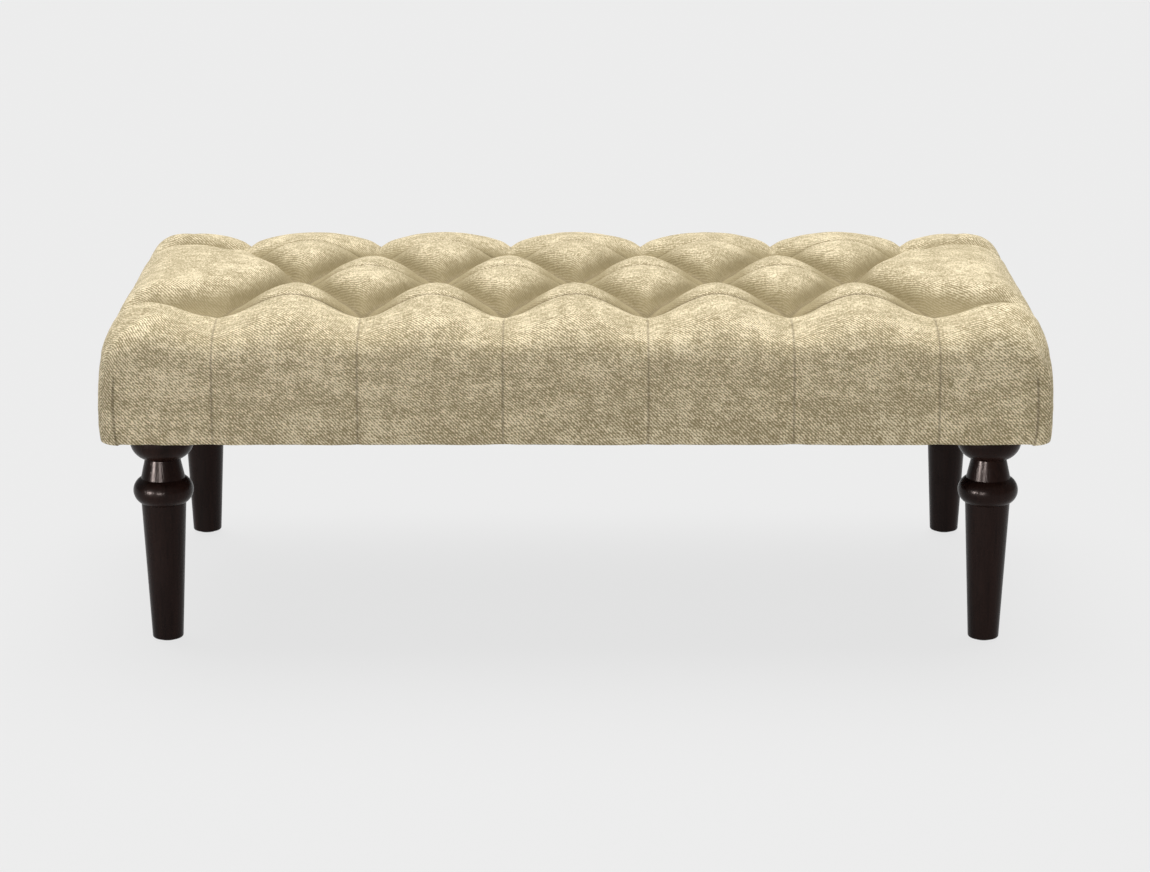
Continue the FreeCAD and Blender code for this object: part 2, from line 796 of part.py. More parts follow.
def side_sections(bottom):
    """Side heights and pleat depths from the bulge down to a lower rim."""
    bulge = num("bulge_height")
    heights = [bulge, (bulge + bottom) / 2, bottom]
    side_depth = num("pleat_side_depth")
    hem_depth = num("pleat_hem_depth")
    return heights, [side_depth, (side_depth + hem_depth) / 2, hem_depth]


def twine_holes():
    low = DECK_TOP.number - num("soft_clearance")
    length = num("overall_height") - low
    radius = num("twine_hole_radius")
    return Part.Compound([Part.makeCylinder(radius, length, Vector(x, y, low)) for x, y in TUFTS])


def soft_piece(label, shape):
    feature = doc.addObject("Part::Feature", f"{label}_form")
    feature.Shape = shape
    feature.Placement = FreeCAD.Placement()
    return keep(label, feature)


def tufted_cover(fittings):
    """The cloth: an outer and an inner skin, and a hem turned under the rails."""
    outer, outer_rim = tufted_skin(0.0, *side_sections(HEM_BOTTOM.number))
    inner, inner_rim = tufted_skin(num("cloth_thickness"), *side_sections(FRAME_BOTTOM.number))
    low_hem = rectangle_wire(num("hem_inset"), HEM_BOTTOM.number)
    high_hem = rectangle_wire(num("hem_inset"), FRAME_BOTTOM.number)
    hem = [ring_face(outer_rim, low_hem), ring_face(inner_rim, high_hem)]
    hem += low_hem.extrude(Vector(0, 0, num("cloth_thickness"))).Faces
    cloth = closed_solid(outer + inner + hem)
    pierced = cloth.cut(Part.Compound([solid for fitting in fittings for solid in fitting.Shape.Solids]))
    return soft_piece("tufted_cover", pierced.Solids[0])


def wadding():
    """The soft layer under the cloth, down to the hem."""
    clearance = num("soft_clearance")
    bottom = FRAME_BOTTOM.number + clearance
    outside = num("cloth_thickness") + clearance
    outer, outer_rim = tufted_skin(outside, *side_sections(bottom))
    inner, inner_rim = tufted_skin(outside + num("wadding_thickness"), *side_sections(bottom))
    layer = closed_solid(outer + inner + [ring_face(outer_rim, inner_rim)])
    return soft_piece("wadding", layer.cut(twine_holes()).Solids[0])


def foam_pad():
    """The foam on the deck, drawn down by the tufts."""
    clearance = num("soft_clearance")
    depth = num("cloth_thickness") + num("wadding_thickness") + 2 * clearance
    skin, rim = tufted_skin(depth, [DECK_TOP.number], [num("pleat_side_depth")])
    block = closed_solid(skin + [Part.Face(rim)])
    return soft_piece("foam_pad", block.cut(twine_holes()).Solids[0])


def tuft_twines():
    """A twine at every tuft, from under the cloth down through the deck to a knot."""
    radius = num("twine_radius")
    top = num("overall_height") - num("tuft_depth") - num("cloth_thickness")
    knot_top = FRAME_TOP.number - num("anchor_thickness")
    knot_low = knot_top - num("knot_height")
    twine = turned_solid([(0, knot_low), (num("knot_radius"), knot_low), (num("knot_radius"), knot_top),
                          (radius, knot_top), (radius, top), (0, top)])
    return group("tuft_twines", [facing(twine, Vector(x, y, 0), DOWN) for x, y in TUFTS])


def tuft_anchors():
    """A washer under the deck at every tuft, which the twine's knot bears on."""
    low = FRAME_TOP.number - num("anchor_thickness")
    disc = Part.makeCylinder(num("anchor_radius"), num("anchor_thickness"), Vector(0, 0, low))
    washer = disc.cut(Part.makeCylinder(num("twine_radius"), num("anchor_thickness"), Vector(0, 0, low)))
    return group("tuft_anchors", [facing(washer, Vector(x, y, 0), DOWN) for x, y in TUFTS])


def build():
    deck_fixing = deck_screws()
    dowels = rail_dowels()
    block_fixing = corner_block_screws()
    brace_fixing = brace_screws()
    plate_fixing = leg_plate_screws()
    hem_staples = staple_row("cover_staples", num("hem_staple_inset"),
                             HEM_BOTTOM.number + num("staple_wire"))
    dust_staples = staple_row("dust_cover_staples", num("dust_staple_inset"), num("leg_height"))
    staples = [hem_staples, dust_staples]
    bolts = []
    for name, x_side, y_side in CORNERS:
        x = LEG_X * x_side
        y = LEG_Y * y_side
        glide = leg_glide(name, x, y)
        bolt = hanger_bolt(name, x, y)
        bolts.append(bolt)
        turned_leg(name, x, y, [glide, bolt])
        leg_plate(name, x, y, [bolt, plate_fixing])
        corner_block(name, x_side, y_side, [plate_fixing, block_fixing])
    long_rail("front_rail", -1, [deck_fixing, dowels, block_fixing, brace_fixing] + staples)
    long_rail("rear_rail", 1, [deck_fixing, dowels, block_fixing, brace_fixing] + staples)
    short_rail("left_rail", -1, [deck_fixing, dowels, block_fixing] + staples)
    short_rail("right_rail", 1, [deck_fixing, dowels, block_fixing] + staples)
    cross_brace("left_cross_brace", -1, [deck_fixing, brace_fixing])
    cross_brace("right_cross_brace", 1, [deck_fixing, brace_fixing])
    seat_deck([deck_fixing])
    dust_cover(bolts + [dust_staples])
    tuft_anchors()
    tuft_twines()
    foam_pad()
    wadding()
    tufted_cover(staples)


def write_parts():
    """Checks every object, then writes each piece to a file named after its label."""
    doc.recompute()
    for owner in doc.Objects:
        if {"Invalid", "Error"} & set(owner.State):
            raise RuntimeError(f"{owner.Label} failed: {owner.State}")
    for owner in nodes:
        if owner.Shape.isNull() or not owner.Shape.isValid():
            raise RuntimeError(f"{owner.Label} has no valid shape")
    os.makedirs("parts", exist_ok=True)
    for owner in nodes:
        owner.Shape.exportStep(f"parts/{owner.Label}.step")


build()
write_parts()
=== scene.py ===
"""Tufted footstool: cloth, filling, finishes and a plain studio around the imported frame."""

import math

import bmesh
import bpy
import numpy as np
from bpy.props import FloatProperty, FloatVectorProperty, IntProperty, PointerProperty
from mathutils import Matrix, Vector, noise


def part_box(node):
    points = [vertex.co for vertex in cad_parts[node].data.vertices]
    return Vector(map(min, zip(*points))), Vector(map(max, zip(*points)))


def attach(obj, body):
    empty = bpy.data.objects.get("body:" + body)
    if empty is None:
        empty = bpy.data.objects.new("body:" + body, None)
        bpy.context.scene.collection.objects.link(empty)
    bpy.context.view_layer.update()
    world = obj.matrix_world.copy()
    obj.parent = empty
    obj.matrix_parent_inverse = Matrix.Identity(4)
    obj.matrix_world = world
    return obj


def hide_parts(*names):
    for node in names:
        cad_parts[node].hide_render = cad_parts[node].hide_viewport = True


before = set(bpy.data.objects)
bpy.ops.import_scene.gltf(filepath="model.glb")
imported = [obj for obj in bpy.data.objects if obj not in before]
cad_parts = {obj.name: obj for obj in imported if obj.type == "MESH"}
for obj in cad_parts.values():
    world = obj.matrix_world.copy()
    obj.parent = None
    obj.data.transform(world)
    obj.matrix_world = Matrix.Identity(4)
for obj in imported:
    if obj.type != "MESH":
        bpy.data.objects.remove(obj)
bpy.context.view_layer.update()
COVER_LOW, COVER_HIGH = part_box("tufted_cover")
SHEET_LOW, SHEET_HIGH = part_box("dust_cover")
DECK_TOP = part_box("seat_deck")[1].z
BODY = "root"

bl_info = {
    "name": "Tufted footstool",
    "version": (1, 0, 0),
    "blender": (4, 5, 0),
    "location": "View3D > Sidebar > Footstool",
    "description": "Dresses a tufted footstool: cloth, filling, wood, hardware and studio",
    "category": "Object",
}

# How finely the cloth is divided before it is smoothed
CELL_STEPS = 20
TOP_STEPS = 8
EDGE_STEPS = 10
SIDE_STEPS = 6
LOWER_STEPS = 4
HEM_STEPS = 3
RING_STEPS = TOP_STEPS + EDGE_STEPS

# How the padded cloth is blown up
SIM_FRAMES = 20
SIM_QUALITY = 5

# What a point of the cloth is marked with, and how sharp each kind of fold line stays when it is smoothed
# The shown marks also set where the cloth's colour carries painted shade.
SHOWN_MARKS = ("fold", "pleat", "row_crease", "hollow")
CREASE_WEIGHTS = {"fold": 0.35, "pleat": 0.9, "row_crease": 0.8}
KEY_STEPS = 1e4

# Form of the cloth: heights in metres between which it changes, shares and powers
CORNER_FOLD_ENDS = (0.352, 0.376)
CORNER_WIDENS = (0.340, 0.420)
CORNER_LIMIT = 0.6
FOLD_COLUMNS = 3
PLEAT_FLATTENS = (0.5, 0.97)
SIDE_PLEAT_POWER = 6.0
NOTCH_POWER = 20
CREASE_POWER = 6
CROWN_POWER = 2.2
CROWN_LOST_AT_ENDS = 0.8
FULLNESS_FROM = 0.35
HEM_PARTS = (0.4, 1.0)

# Wrinkles: waves per metre, their shares, and how much calmer a fold is
SLOW_WAVES = 22.0
QUICK_WAVES = (60.0, 60.0, 95.0)
SLOW_SHARE = 0.8
QUICK_SHARE = 0.5
FOLD_CALM = 0.6

# The dust cloth, in metres: its ripples are waves per metre and start at a distance from its edge
SHEET_GRID = 0.010
SHEET_ROUNDING = 0.012
SHEET_SAG = 0.004
SHEET_THICKNESS = 0.0005
RIPPLE_SCALE = 14.0
RIPPLE_HEIGHT = 0.0006
RIPPLE_STARTS = (0.01, 0.06)
TURNED_EDGE_STEP = 0.0003
TURNED_EDGE_ENDS = (0.010, 0.012)
DUST_CONTRAST = 2.4

# The weave: sizes are noise waves per metre along, across and through the cloth, ranges are noise levels
WEFT_SIZES = (85.0, 430.0, 1.0)
WARP_SIZES = (430.0, 110.0, 1.0)
SLUB_SIZES = (15.0, 330.0, 1.0)
WIDE_PATCH_SIZES = (11.0, 40.0, 1.0)
TALL_PATCH_SIZES = (42.0, 13.0, 1.0)
THREAD_RANGE = (0.40, 0.60)
SLUB_RANGE = (0.55, 0.75)
WORN_RANGE = (0.17, 0.38)
RIB_TURN = 4.44
RIB_SWAY = 6.0
RIB_SWAY_SCALE = 140.0
WEAVE_DEEPENED = 0.32

# Wood, fibre and metal: noise waves per metre, and the turns that lay the grain along a piece
FIGURE_SIZES = (46.0, 46.0, 3.2)
PORE_SIZES = (520.0, 520.0, 11.0)
BLOTCH_SCALE = 34.0
CELL_SCALE = 1.3
CLOUD_SCALE = 18.0
TARNISH_SCALE = 120.0
SCUFF_SIZES = (900.0, 900.0, 160.0)
SCUFF_RANGE = (0.35, 0.65)
UPRIGHT = (0.0, 0.0, 0.0)
LENGTHWAYS = (0.0, math.pi / 2, 0.0)
CROSSWAYS = (math.pi / 2, 0.0, 0.0)

# The studio: floor, way to the broad light, points that the lamps face, and tints of the lamps
FLOOR_SIZE = 80.0
FLOOR_DROP = 0.0002
KEY_WAY = (-0.03, 0.40, 1.0)
LEG_AIM = (-0.3, -0.2, 0.25)
SEAT_AIM = (0.0, 0.0, 0.3)
WHITE = (1.0, 1.0, 1.0)
GLINT_TINT = (1.0, 0.84, 0.79)

# The photograph's frame and lens
SENSOR_WIDTH = 36.0
PHOTO_WIDTH = 1150.0


def number(label, text, value, **more):
    """A plain number that a user can change."""
    return FloatProperty(name=label, description=text, default=value, **more)


def metres(label, text, size):
    """A length that a user can change."""
    return number(label, text, size, unit="LENGTH", precision=4)


def share(label, text, value):
    """A plain share from nothing to all."""
    return number(label, text, value, min=0.0, max=1.0, subtype="FACTOR")


def tint(label, text, red, green, blue):
    """A colour that a user can change, as linear red, green and blue."""
    return FloatVectorProperty(name=label, description=text, default=(red, green, blue),
                               min=0.0, max=1.0, subtype="COLOR")


class SeatSettings(bpy.types.PropertyGroup):
    """Sizes of the tufted seat."""

    tuft_pitch: metres("Tuft pitch", "Distance from tuft to tuft along a row", 0.177)
    row_gap: metres("Row gap", "Distance from one row of tufts to the next", 0.1635)
    outer_tufts: IntProperty(name="Outer tufts", description="Tufts in the front and rear rows",
                             default=6, min=2, max=12)
    tuft_depth: metres("Tuft depth", "How deep the cloth is pulled in at a tuft", 0.036)
    fold_depth: metres("Fold depth", "How deep the folds lie between the tufts", 0.030)
    pit_reach: metres("Pit reach", "How far the pull of a tuft spreads", 0.016)
    pleat_depth: metres("Pleat depth", "How deep the pleats lie where they go over the edge", 0.0165)
    side_pleat_depth: metres("Side pleat depth", "How deep the pleats lie on the sides", 0.0035)
    hem_pleat_depth: metres("Hem pleat depth", "How deep the pleats lie at the hem", 0.0008)
    notch_front: metres("Front notch", "Extra depth of the fold line in the front and end pleats", 0.002)
    notch_rear: metres("Rear notch", "Extra depth of the fold line in the rear pleats", 0.005)
    crown: metres("Crown", "How far the seat's front and rear edges fall away", 0.021)
    crown_start: metres("Crown start", "Distance from the middle where the seat starts to fall", 0.100)
    hem_drop: metres("Hem drop", "How far the rolled hem hangs under the frame", 0.0030)
    end_reach: metres("End pleat reach", "How far an end pleat spreads to each side", 0.050)
    crease_depth: metres("Crease depth", "How deep the crease from tuft to tuft is", 0.0045)
    front_fullness: number("Front fullness", "How much fuller than a parabola a cell's front half is", 2.5)
    rear_fullness: number("Rear fullness", "How much fuller than a parabola a cell's rear half is", 0.8)
    end_pleats: number("End pleats", "How many times deeper the pleats at the ends are", 1.4)
    crease_step: share("Crease step", "How steeply the cloth stands up behind a crease", 0.8)
    edge_radius: metres("Edge radius", "Rounding of the seat's upper edges", 0.060)
    edge_inset: metres("Edge inset", "How far the side leans in at the upper edge", 0.003)
    bulge_height: metres("Bulge height", "Height at which the sides are widest", 0.308)
    hem_draw_in: metres("Hem draw-in", "How far the hem is pulled in under the sides", 0.0025)
    hem_radius: metres("Hem radius", "Rounding of the hem where it turns under", 0.0022)
    hem_width: metres("Hem width", "How far the hem runs in under the frame", 0.030)
    corner_radius: metres("Corner radius", "Rounding of the upright corners", 0.020)
    corner_top_radius: metres("Corner top radius", "Rounding of the corners at the top", 0.055)
    corner_drop: metres("Corner drop", "How far the seat's corners are pulled down", 0.006)
    fold_width: metres("Corner fold", "Width of the cloth folded round each corner", 0.018)
    fold_step: metres("Corner fold step", "How far the folded cloth stands proud", 0.0012)
    cloth_thickness: metres("Cloth thickness", "Thickness of the cover cloth", 0.0018)
    wadding_thickness: metres("Wadding thickness", "Thickness of the layer under the cloth", 0.008)
    wadding_gap: metres("Wadding gap", "Room left between the cloth and the wadding", 0.0035)
    start_sink: metres("Start sink", "How much smaller the cover is before it is blown up", 0.0015)
    puff_cap: metres("Puff cap", "How far the padding may push the cloth", 0.0030)
    puff_pressure: number("Puff pressure", "Pressure of the padding", 0.9)
    wrinkle_height: metres("Wrinkles", "Height of the small wrinkles in the cloth", 0.0008)


class ClothSettings(bpy.types.PropertyGroup):
    """Colours and weave of the cloths."""

    pale: tint("Pale thread", "Colour of the pale threads and worn patches", 0.88, 0.762, 0.532)
    deep: tint("Deep thread", "Colour of the deep threads", 0.285, 0.228, 0.114)
    # Painted shade: the colour that the cloth is mixed towards along its fold, pleat and crease lines.
    fold_shade: tint("Fold shade", "Colour deep inside the folds", 0.13, 0.095, 0.05)
    twill_pitch: metres("Twill pitch", "Distance between the twill's slanting ribs", 0.0033)
    slubs: share("Slubs", "Strength of the thick threads", 0.55)
    sheen: tint("Sheen", "Colour of the light that grazes the cloth", 1.0, 0.90, 0.66)
    dust_cloth: tint("Dust cloth", "Colour of the cloth under the seat", 0.012, 0.012, 0.013)


class WoodSettings(bpy.types.PropertyGroup):
    """Colours of the wood."""

    stain_dark: tint("Dark stain", "Deep colour of the stained legs", 0.0085, 0.0036, 0.0027)
    stain_light: tint("Light stain", "Grain colour of the stained legs", 0.0225, 0.0102, 0.0078)
    frame_light: tint("Frame light", "Light colour of the frame timber", 0.58, 0.41, 0.24)
    frame_dark: tint("Frame dark", "Grain colour of the frame timber", 0.36, 0.22, 0.11)


class StudioSettings(bpy.types.PropertyGroup):
    """Floor, light and camera."""

    floor: tint("Floor", "Colour of the floor as the camera sees it", 0.860, 0.860, 0.860)
    floor_matt: tint("Floor bounce", "Colour of the floor that lights the seat", 0.45, 0.45, 0.45)
    backdrop: tint("Backdrop", "Colour beyond the floor", 0.84, 0.84, 0.84)
    shadow: share("Shadow", "How strongly the floor shows the shadow", 0.13)
    sky: number("Sky", "Strength of the light from all round", 0.285)
    key: number("Key", "Strength of the broad light above", 4.4)
    key_spread: number("Key spread", "How broad the light above is", math.radians(60.0), subtype="ANGLE")
    fill: number("Fill", "Power of the broad lamp in front", 32.0, unit="POWER")
    glint: number("Glint", "Power of the small lamps at the left", 200.0, unit="POWER")
    focal_pixels: number("Focal length", "Focal length in photo pixels", 3391.2)
    camera_pitch: number("Camera pitch", "How far the camera looks down", math.radians(15.048),
                         subtype="ANGLE")
    camera_back: metres("Camera distance", "How far the camera stands in front", 4.2879)
    camera_height: metres("Camera height", "How high the camera stands", 1.3515)
    sideways: number("Sideways shift", "Frame shift as a share of its width", -0.00056)


def settings(name):
    """The scene's own copy of a settings group."""
    return getattr(bpy.context.scene, name)


def smooth_step(low, high, value):
    """From 0 at low to 1 at high, with soft ends."""
    ratio = min(max((value - low) / (high - low), 0.0), 1.0)
    return ratio * ratio * (3.0 - 2.0 * ratio)


def mix(first, second, weight):
    """A value between two others."""
    return first + (second - first) * weight


# The tufted sheet


class Station:
    """One line along the cloth at a fixed distance from the outer tufts, on its way to the hem."""

    def __init__(self, seat, inset, height, lean, run):
        self.inset = inset
        self.height = height
        self.lean = lean
        self.run = run
        self.lift = max(math.sin(lean), 0.0)
        side_share = smooth_step(COVER_LOW.z, COVER_HIGH.z - seat.edge_radius, height)
        side_depth = mix(seat.hem_pleat_depth, seat.side_pleat_depth, side_share)
        self.spread = smooth_step(0.0, seat.edge_radius, run)
        top_depth = mix(seat.fold_depth, seat.pleat_depth, self.spread)
        self.pleat = mix(side_depth, top_depth, self.lift ** 2)
        self.flatten = smooth_step(*PLEAT_FLATTENS, math.cos(max(lean, 0.0)))
        self.fold = 1.0 - smooth_step(*CORNER_FOLD_ENDS, height)
        above = (height - seat.bulge_height) / (COVER_HIGH.z - seat.bulge_height)
        self.settle = min(max(above, 0.0), 1.0)
        self.slack = smooth_step(COVER_LOW.z, seat.bulge_height, height)

    def hollow(self, axis):
        """Share of the cloth's depth that counts as a hollow: axis is 1 at the ends."""
        return self.lift if axis else 1.0 - self.spread


def stations(seat):
    """All the lines from the outer tufts over the edge and down to the hem."""
    flat_end = seat.edge_radius + seat.edge_inset
    centre_height = COVER_HIGH.z - seat.edge_radius
    hem_top = COVER_LOW.z - seat.hem_drop + seat.hem_radius
    found = []
    for step in range(TOP_STEPS):
        inset = mix(COVER_HIGH.y - seat.row_gap, flat_end, step / TOP_STEPS)
        found.append((inset, COVER_HIGH.z, math.pi / 2))
    for step in range(EDGE_STEPS + 1):
        lean = math.pi / 2 * (1.0 - step / EDGE_STEPS)
        inset = flat_end - seat.edge_radius * math.cos(lean)
        found.append((inset, centre_height + seat.edge_radius * math.sin(lean), lean))
    for step in range(1, SIDE_STEPS + 1):
        height = mix(centre_height, seat.bulge_height, step / SIDE_STEPS)
        rise = (height - seat.bulge_height) / (centre_height - seat.bulge_height)
        found.append((seat.edge_inset * rise ** 2, height, 0.0))
    inset = 0.0
    for step in range(1, LOWER_STEPS + 1):
        height = mix(seat.bulge_height, hem_top, step / LOWER_STEPS)
        fall = (seat.bulge_height - height) / (seat.bulge_height - COVER_LOW.z)
        inset = seat.hem_draw_in * fall ** 2
        found.append((inset, height, 0.0))
    for step in range(1, HEM_STEPS + 1):
        lean = -math.pi / 2 * step / HEM_STEPS
        turned = inset + seat.hem_radius * (1.0 - math.cos(lean))
        found.append((turned, hem_top + seat.hem_radius * math.sin(lean), lean))
    for part in HEM_PARTS:
        found.append((part * seat.hem_width, COVER_LOW.z, -math.pi / 2))
    lines = []
    run = 0.0
    before = found[0]
    for inset, height, lean in found:
        run += math.hypot(inset - before[0], height - before[1])
        lines.append(Station(seat, inset, height, lean, run))
        before = (inset, height)
    return lines


class TuftedSheet:
    """Points and faces of the tufted cloth, joined by their place on the flat cloth."""

    def __init__(self, seat, sink=0.0, folded=True):
        self.seat = seat
        self.sink = sink
        self.folded = folded
        self.half = seat.tuft_pitch / 2
        self.lines = stations(seat)
        self.outer = [(i - (seat.outer_tufts - 1) / 2) * seat.tuft_pitch for i in range(seat.outer_tufts)]
        self.inner = [x + self.half for x in self.outer[:-1]]
        self.tufts = [(x, y) for y in (-seat.row_gap, seat.row_gap) for x in self.outer]
        self.tufts += [(x, 0.0) for x in self.inner]
        self.margin = COVER_HIGH.y - seat.row_gap
        self.index = {}
        self.places = []
        self.marks = {name: [] for name in (*SHOWN_MARKS, "held")}
        self.faces = []
        self.maps = []

    def point(self, key, place, hollow, **marks):
        """Adds a point once, and keeps its strongest marks: hollow is a depth."""
        if key not in self.index:
            self.index[key] = len(self.places)
            self.places.append(place)
            for values in self.marks.values():
                values.append(0.0)
        number = self.index[key]
        marks["hollow"] = min(hollow / self.seat.fold_depth, 1.0)
        for name, value in marks.items():
            self.marks[name][number] = max(self.marks[name][number], value)
        return number

    def face(self, corners):
        """Adds a face from pairs of point number and place on the flat cloth."""
        self.faces.append([number for number, _ in corners])
        self.maps.append([flat for _, flat in corners])

    def strip(self, upper, lower):
        """Joins a row of points with the row under it."""
        for j in range(len(upper) - 1):
            self.face([upper[j], upper[j + 1], lower[j + 1], lower[j]])

    def sunk(self, line):
        """How far the sheet lies under the finished cover: the cover's own hem isn't sunk."""
        return self.sink * line.slack if self.folded else self.sink

    def at_hem(self, k):
        """1 on the lines that are fastened under the frame, and 0 elsewhere."""
        return float(k >= len(self.lines) - 1 - HEM_STEPS)

    def pull(self, reach):
        """The extra depth that a tuft pulls into the cloth at a distance from it."""
        seat = self.seat
        return (seat.tuft_depth - seat.fold_depth) * math.exp(-reach / seat.pit_reach)

    def dome(self, x, y, cell_x, cell_y, narrow=1.0):
        """Height of the cloth in a diamond cell round its middle; narrow makes its folds tighter."""
        seat = self.seat
        across = (x - cell_x) / self.half
        along = (y - cell_y) / seat.row_gap
        first = max(0.0, 1.0 - narrow * (1.0 - abs(across + along)))
        second = max(0.0, 1.0 - narrow * (1.0 - abs(across - along)))
        fullness = seat.front_fullness if along < 0.0 else seat.rear_fullness
        power = 2.0 + fullness * smooth_step(0.0, FULLNESS_FROM, abs(along)) if narrow == 1.0 else 2.0
        depth = seat.fold_depth * (1.0 - (1.0 - first ** power) * (1.0 - second ** power))
        depth += self.pull(min(math.hypot(x - tuft_x, y - tuft_y) for tuft_x, tuft_y in self.tufts))
        return COVER_HIGH.z - self.sink - depth - self.crown_at(x, y)

    def crown_at(self, x, y):
        """How far the seat has fallen away at a place, less towards its ends."""
        seat = self.seat
        share_out = max(0.0, abs(y) - seat.crown_start) / (COVER_HIGH.y - seat.crown_start)
        fade = 1.0 - CROWN_LOST_AT_ENDS * smooth_step(self.outer[-1], COVER_HIGH.x, abs(x))
        return seat.crown * share_out ** CROWN_POWER * fade

    def crease_share(self, across):
        """Share of a crease's depth on the way from its middle to a tuft."""
        return 1.0 - across ** CREASE_POWER if self.folded else 0.0

    def step_up(self, across, spacing):
        """How far the first points behind a crease move up to it, so that they form a small step."""
        return self.seat.crease_step * spacing * self.crease_share(across)

    def fan(self, apex_x, apex_y, side):
        """A half cell from one tuft to the row line on one side of it."""
        seat = self.seat
        base_y = apex_y + side * seat.row_gap
        rows = []
        for i in range(CELL_STEPS + 1):
            part = i / CELL_STEPS
            y = apex_y + side * seat.row_gap * part
            on_line = i == CELL_STEPS
            behind = side < 0 and i == CELL_STEPS - 1
            row = []
            for j in range(i + 1):
                across = part * (2.0 * j / i - 1.0) if i else 0.0
                x = apex_x + self.half * across
                z = self.dome(x, y, apex_x, base_y)
                z -= seat.crease_depth * self.crease_share(across) if on_line else 0.0
                moved = y - self.step_up(across / part, seat.row_gap / CELL_STEPS) if behind else y
                number = self.point(flat_key(x, y), (x, moved, z), COVER_HIGH.z - z,
                                    fold=float(j in (0, i)), row_crease=float(on_line))
                row.append((number, (x, y)))
            rows.append(row)
        for i in range(CELL_STEPS - 1):
            for j in range(i + 1):
                self.face([rows[i][j], rows[i + 1][j], rows[i + 2][j + 1], rows[i + 1][j + 1]])
        for j in range(CELL_STEPS):
            self.face([rows[-2][j], rows[-1][j], rows[-1][j + 1]])

    def end_fan(self, side):
        """The half cell between the last tuft of the middle row and the end panel."""
        seat = self.seat
        apex_x = self.inner[-1] * side
        base_x = self.outer[-1] * side
        rows = []
        for i in range(CELL_STEPS + 1):
            x = mix(apex_x, base_x, i / CELL_STEPS)
            row = []
            for m in range(-i, i + 1):
                y = seat.row_gap * m / CELL_STEPS
                z = self.dome(x, y, base_x, 0.0, seat.row_gap / self.half)
                number = self.point(flat_key(x, y), (x, y, z), COVER_HIGH.z - z, fold=float(abs(m) == i))
                row.append((number, (x, y)))
            rows.append(row)
        for upper, lower in zip(rows, rows[1:]):
            self.strip(upper, lower[1:-1])
            self.face([upper[0], lower[1], lower[0]])
            self.face([upper[-1], lower[-1], lower[-2]])

    def profile(self, line, gap, axis, rear, steep=0.0):
        """Share of the pleat's depth at a distance from the pleat: axis is 1 for the pleats at the ends."""
        reach = mix(self.half, self.seat.end_reach, line.spread) if axis == 1 else self.half
        near = max(0.0, 1.0 - gap / reach)
        top = 1.0 - (1.0 - near ** 2) ** 2
        if rear:
            top = mix(top, near ** 2, line.spread)
        side = near ** (SIDE_PLEAT_POWER * (1.0 + steep))
        deeper = mix(1.0, self.seat.end_pleats, line.spread) if axis == 1 else 1.0
        return deeper * mix(top, side, line.flatten)

    def notch(self, line, gap, rear):
        """The fold line itself, pressed into the pleat."""
        near = max(0.0, 1.0 - gap / self.half)
        depth = self.seat.notch_rear if rear else self.seat.notch_front
        return depth * line.lift * line.spread * near ** NOTCH_POWER

    def side_place(self, line, along, depth, side):
        """A point of a side panel: side is (axis across the panel, sign of its outward way)."""
        axis, sign = side
        reach = (COVER_HIGH.y if axis == 0 else COVER_HIGH.x) - line.inset
        out = reach - (depth + self.sunk(line)) * math.cos(line.lean)
        up = line.height - (depth + self.sunk(line)) * math.sin(line.lean)
        x, y = (along, sign * out) if axis == 0 else (sign * out, along)
        return x, y, up - self.crown_at(x, y) * line.settle

    def side_flat(self, line, along, side):
        """Where a side panel's point lies on the flat cloth."""
        axis, sign = side
        if axis == 0:
            return along, sign * (self.seat.row_gap + line.run)
        return sign * (self.outer[-1] + line.run), along

    def panel(self, start, finish, columns, side):
        """One panel between two pleats, from the row line over the edge to the hem."""
        rear = side == (0, 1)
        cell_half = (finish - start) / 2
        rows = []
        for k, line in enumerate(self.lines):
            on_row = k == 0 and side[0] == 0
            row = []
            for j in range(columns + 1):
                along = mix(start, finish, j / columns)
                left = along - start
                right = finish - along
                gap = min(left, right)
                across = 1.0 - gap / cell_half
                depth = line.pleat * self.profile(line, gap, side[0], rear, steep=float(left < right))
                depth += self.pull(math.hypot(gap, line.run)) + self.notch(line, gap, rear)
                depth += self.seat.crease_depth * self.crease_share(across) if on_row else 0.0
                x, y, z = self.side_place(line, along, depth, side)
                y -= self.step_up(across, line.run) if k == 1 and rear else 0.0
                flat = self.side_flat(line, along, side)
                on_pleat = float(j in (0, columns))
                number = self.point(flat_key(*flat), (x, y, z), depth * line.hollow(side[0]), fold=on_pleat,
                                    pleat=on_pleat * line.spread, row_crease=float(on_row),
                                    held=self.at_hem(k))
                row.append((number, flat))
            rows.append(row)
        for upper, lower in zip(rows, rows[1:]):
            self.strip(upper, lower)

    def leg_gaps(self, line, columns, length, leg):
        """Distances of a corner leg's points from its pleat, with the fold's two edges close together."""
        even = [length * j / max(columns, 1) for j in range(columns + 1)]
        if leg == 1 or columns < RING_STEPS or not self.folded:
            return even
        width = self.seat.fold_width * math.sqrt(max(line.fold, 0.0))
        edge = columns - FOLD_COLUMNS
        folded = [(length - width) * j / edge for j in range(edge + 1)]
        folded += [length - width + self.seat.fold_step / 4, length - width / 2, length]
        return [mix(a, b, line.fold) for a, b in zip(even, folded)]

    def ring_radius(self, line):
        """Plan rounding of the corner at a station."""
        seat = self.seat
        radius = mix(seat.corner_radius, seat.corner_top_radius, smooth_step(*CORNER_WIDENS, line.height))
        return min(radius, CORNER_LIMIT * (self.margin - line.inset))

